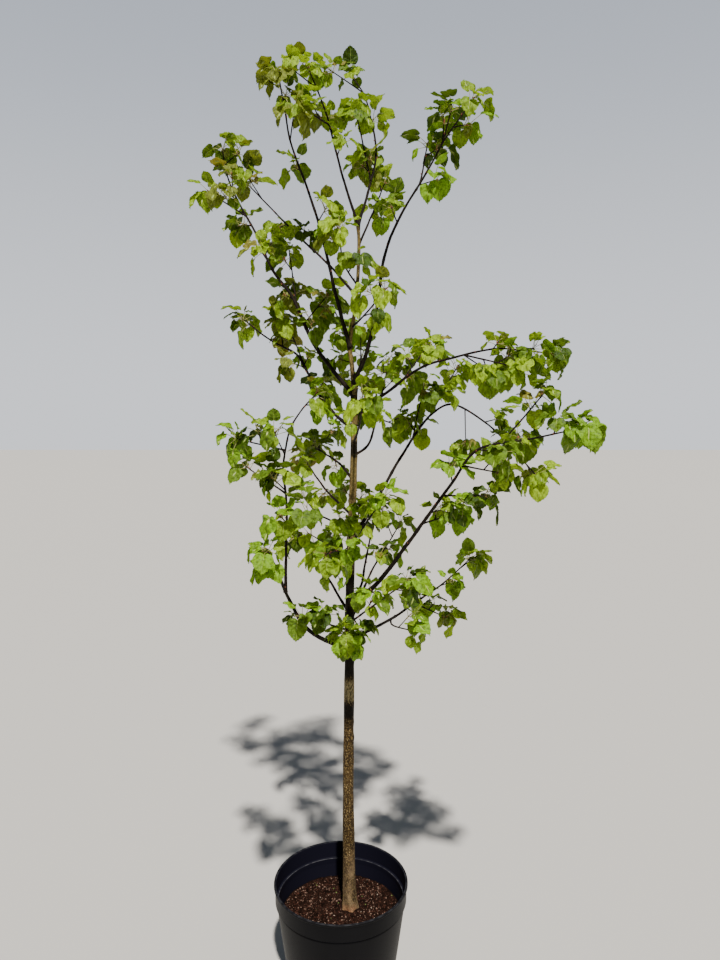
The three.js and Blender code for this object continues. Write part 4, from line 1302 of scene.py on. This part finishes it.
def leaf_form(chance):
    """One form of leaf: its points (across, along, raised) and faces, with those of its rib."""
    edge = Line([(x, y, 0) for x, y in LEAF_EDGE])
    shares = np.linspace(FIRST_EDGE_POINT, 1, LEAF_EDGE_POINTS)
    outline = np.array([edge.at(share) for share in shares])[:, :2]
    fold, arch, wave, pleat, curl, buckle = [mix(limits, chance())
                                             for limits in LEAF_TRAITS.values()]
    phase = 2 * math.pi * chance()
    rows = len(LEAF_ROWS)
    half = LEAF_EDGE_POINTS * rows
    points, faces = [], []
    for side in (1, -1):
        lean = mix(LEAF_LEAN, chance())
        first = len(points)
        for index, (x, y) in enumerate(outline):
            last = index == LEAF_EDGE_POINTS - 1
            tooth = 0.0 if last else (TOOTH if index % 2 else NOTCH)
            foot_along = min(LAST_VEIN, max(VEIN_STEP * index, y - VEIN_SLANT * x))
            if last:
                foot_along = TIP_VEIN
            foot = np.array([mix(RIB_WIDTH, foot_along), foot_along])
            rim = np.array([x * lean, y]) * (1 + tooth) + np.array([0, tooth * TOOTH_SLANT])
            pleated = (1 - PLEAT_EASED * y) if index % PLEAT_EVERY else 0
            for row in LEAF_ROWS:
                across, along = foot + (rim - foot) * row
                quilt = math.sin(math.pi * min(1, row * PLEAT_SPREAD)) * pleated
                ripple = row * math.sin(RIPPLES * math.pi * shares[index] + phase)
                dents = (math.sin(DENTS_ALONG * along + phase)
                         * math.sin(DENTS_ACROSS * across + DENTS_APART * side))
                raised = (fold * across + pleat * quilt - arch * max(0.0, along) ** 2
                          - curl * across ** 2 + wave * ripple + buckle * dents)
                points.append((side * across, along, raised))
        for index in range(LEAF_EDGE_POINTS - 1):
            for row in range(rows - 1):
                a = first + index * rows + row
                quad = (a, a + 1, a + rows + 1, a + rows)
                faces.append(quad if side == 1 else quad[::-1])
        phase += SIDE_PHASE
    rib = [(half + a, a, a + rows, half + a + rows) for a in range(0, half - rows, rows)]
    is_rib = np.arange(len(faces) + len(rib)) >= len(faces)
    return np.array(points), np.array(faces + rib), is_rib


form_chance = Chance(LEAF_FORM_SEED)
leaf_forms = [leaf_form(form_chance) for _ in range(LEAF_FORMS)]


def limb_ground():
    """Centres and radii along the trunk and all limbs, for keeping leaves off them."""
    heights = np.arange(foot_height, station_heights[-1], float(LIMB_PROBE_STEP))
    centres = [trunk_point(height) for height in heights]
    radii = list(trunk_radius(heights))
    for limb in LIMBS:
        for share in np.linspace(0, 1, int(limb.line.length / LIMB_PROBE_STEP)):
            centres.append(limb.line.at(share))
            radii.append(limb_radius(limb.line, limb.thick, share))
    return np.array(centres), np.array(radii)


ground_centres, ground_radii = limb_ground()


def touches_limb(samples):
    gaps = np.linalg.norm(ground_centres[None, :, :] - samples[:, None, :], axis=2)
    return bool((gaps - ground_radii[None, :] < LEAF_CLEARANCE).any())


leaf_skins = {group: Skin() for group in TINT_SHARES}
stalks = Skin()
new_shoots = Skin()
scales = Skin()


def add_leaf(group, root, way, face, length, tint, extra):
    """A leaf on its stalk. The stalk rises a little and the blade hangs from it to the tip."""
    tip = root + way * length * mix(LEAF_REACH, extra())
    stalk_way = unit(way + UP * mix(STALK_RISE, extra()))
    joint = root + stalk_way * length * mix(STALK_LENGTH, extra())
    blade = tip - joint
    size = np.linalg.norm(blade)
    along = blade / size
    normal = unit(face - along * face.dot(along))
    across = np.cross(along, normal)
    if touches_limb(np.array([joint + along * size * share + across * size * side
                              for share, side in LEAF_PROBES])):
        return
    form, faces, is_rib = leaf_forms[int(extra() * LEAF_FORMS)]
    wide = mix(LEAF_WIDTH, extra())
    points = (joint + form[:, :1] * across * size * wide + form[:, 1:2] * along * size
              + form[:, 2:] * normal * size)
    leaf_skins[group].add(points, faces, slot=np.where(is_rib, RIB, tint))
    sway = across * length * mix(STALK_SWAY, extra())
    middle = (root + joint) / 2 + UP * length * STALK_LIFT + sway
    bow = drawn(root, middle, joint, np.linspace(0, 1, len(STALK_RADII) - 1)[:, None])
    stalk_end = joint + along * size * STALK_OVERLAP
    stalks.add(*tube([*bow, stalk_end], STALK_RADII, STALK_SIDES))


def add_scale(root, way, length):
    """A papery bud scale, left at the foot of a new tuft: four corners round each centre."""
    level, rising = square_to(way)
    points = []
    for share, width, lift in zip(SCALE_SHARES, SCALE_WIDTHS * length, SCALE_CUP * length):
        centre = root + way * length * share
        points += [centre - level * width, centre + rising * (lift + SCALE_THICK),
                   centre + level * width, centre + rising * (lift - SCALE_THICK)]
    faces = []
    for row in range(0, len(points) - 4, 4):
        for side in range(4):
            a, b = row + side, row + (side + 1) % 4
            faces.append((b, a, a + 4, b + 4))
    scales.add(points, faces, SCALE_ENDS)


def arc(start, end, lift, steps):
    return drawn(start, (start + end) / 2 + lift, end, np.linspace(0, 1, steps)[:, None])


def draw_tint(group, main, share, extra):
    """The main tint of a tuft for a share of its leaves, or else one drawn for its group."""
    return main if extra() < share else extra.pick(TINT_SHARES[group])


def add_small_leaf(group, root, way, roll, limits, tint, extra):
    across, face = square_to(way)
    add_leaf(group, root, way, spoke(face, across, roll), mix(limits, extra()), tint, extra)


def add_side_twig(group, end, way, main, extra):
    """A thin side twig near the end of a shoot, with a bud and two or three small leaves."""
    level, rising = square_to(way)
    side = spoke(level, rising, 2 * math.pi * extra())
    start = end - way * KNOB_ROW * mix(SIDE_TWIG_PLACE, extra())
    twig_way = unit(way * SIDE_TWIG_FORWARD + side + UP * SIDE_TWIG_LIFT)
    twig_end = start + twig_way * mix(SIDE_TWIG_LENGTH, extra())
    points = arc(start, twig_end, UP * SIDE_TWIG_BOW, len(SIDE_TWIG_RADII))
    new_shoots.add(*tube(points, SIDE_TWIG_RADII, SMALL_SIDES))
    buds.add(*spindle(twig_end, twig_way, *TWIG_BUD))
    for leaf in range(2 + (extra() < TWIG_THIRD_LEAF_SHARE)):
        out = spoke(level, rising, 2 * math.pi * (leaf / 3 + TWIG_LEAF_STRAY * extra()))
        forward = twig_way * TWIG_LEAF_FORWARD
        leaf_way = unit(out + forward - UP * mix(TWIG_LEAF_DROOP, extra()))
        roll = mix(LEAF_ROLL, extra())
        tint = draw_tint(group, main, TWIG_MAIN_TINT_SHARE, extra)
        add_small_leaf(group, twig_end - twig_way * TWIG_LEAF_GAP * leaf, leaf_way, roll,
                       TWIG_LEAF_LENGTH, tint, extra)


def add_tuft(group, root, end, way, leaves, extra):
    """A shoot with its new growth, side twigs, leaves, buds and scales."""
    lift = UP * mix(SHOOT_BOW, extra())
    points = arc(root, end, lift, max(4, int(np.linalg.norm(end - root) / TWIG_STEP)))
    twigs.add(*tube(points, np.linspace(*SHOOT_RADII, len(points)), TWIG_SIDES))
    new_end = end + way * NEW_GROWTH_OVER
    new_start = end - way * NEW_GROWTH_ROWS * KNOB_ROW
    points = arc(new_start, new_end, UP * NEW_GROWTH_BOW, len(NEW_GROWTH_RADII))
    new_shoots.add(*tube(points, NEW_GROWTH_RADII, SMALL_SIDES))
    buds.add(*spindle(new_end - way, way, *TIP_BUD))
    main = extra.pick(TINT_SHARES[group])
    for leaf_root, leaf_way, face, length in leaves:
        tint = draw_tint(group, main, MAIN_TINT_SHARE, extra)
        add_leaf(group, leaf_root, leaf_way, face, length, tint, extra)
    level, rising = square_to(way)
    for _ in range(int(extra() * SMALL_LEAVES_UNDER)):
        out = spoke(level, rising, 2 * math.pi * extra())
        forward = way * mix(SMALL_LEAF_FORWARD, extra())
        leaf_way = unit(out + forward - UP * mix(LEAF_DROOP, extra()))
        roll = SMALL_LEAF_ROLL * mix(LEAF_ROLL, extra())
        tint = draw_tint(group, main, MAIN_TINT_SHARE, extra)
        add_small_leaf(group, end - way * mix(SMALL_LEAF_PLACE, extra()), leaf_way, roll,
                       SMALL_LEAF_LENGTH, tint, extra)
    for _ in range(1 + (extra() < SECOND_TWIG_SHARE)):
        add_side_twig(group, end, way, main, extra)
    if extra() < SCALED_TUFT_SHARE:
        for _ in range(FEWEST_SCALES + int(extra() * MORE_SCALES_UNDER)):
            out = unit(way * SCALE_FORWARD + spoke(level, rising, 2 * math.pi * extra()))
            add_scale(end - way * mix(SCALE_PLACE, extra()), out, mix(SCALE_LENGTH, extra()))


def mass_group(name):
    if name in BRONZE_MASSES:
        return "bronze"
    if name in DEEP_MASSES:
        return "deep"
    return "bright_low" if name in LOW_MASSES else "bright_high"


def grow_mass(number, limb):
    """A stem with its forks and everything that grows on them."""
    random, extra = Chance(number + 1), Chance(EXTRA_SEED + number)
    group = mass_group(limb.name)
    parts = [(limb.line, limb.bare, limb.thick)]
    parts += [(Line([limb.line.at(share), tip]), 0, FORK_THICK) for share, tip in limb.forks]
    for line, start, thick in parts:
        sides = STEM_SIDES if thick[0] > STOUT_STEM else TWIG_SIDES
        twigs.add(*knotty_tube(line, thick, start, 1, sides, TWIG_STEP, extra))
        add_buds(line, thick, start, LAST_BUD, extra)
        for root, end, way, leaves in grow_shoots(line, start, random):
            add_tuft(group, root, end, way, leaves, extra)


masses = [(number, limb) for number, limb in enumerate(LIMBS) if limb.bare < 1]
for number, limb in masses:
    grow_mass(number, limb)

for group, skin in leaf_skins.items():
    nodes = ["foliage_" + limb.name for _, limb in masses if mass_group(limb.name) == group]
    skin.piece("leaves_" + group, leaf_tints, "foliage_" + group.split("_")[0], nodes)
twigs.piece("twig_bark", [bark_twig], "young_bark", ["foliage_" + limb.name for _, limb in masses])
new_shoots.piece("new_shoots", [new_growth], "young_bark")
stalks.piece("leaf_stalks", [stalk_green], "foliage_bright")
buds.piece("buds", [bud_red], "young_bark")
scales.piece("bud_scales", [scale_red], "young_bark")
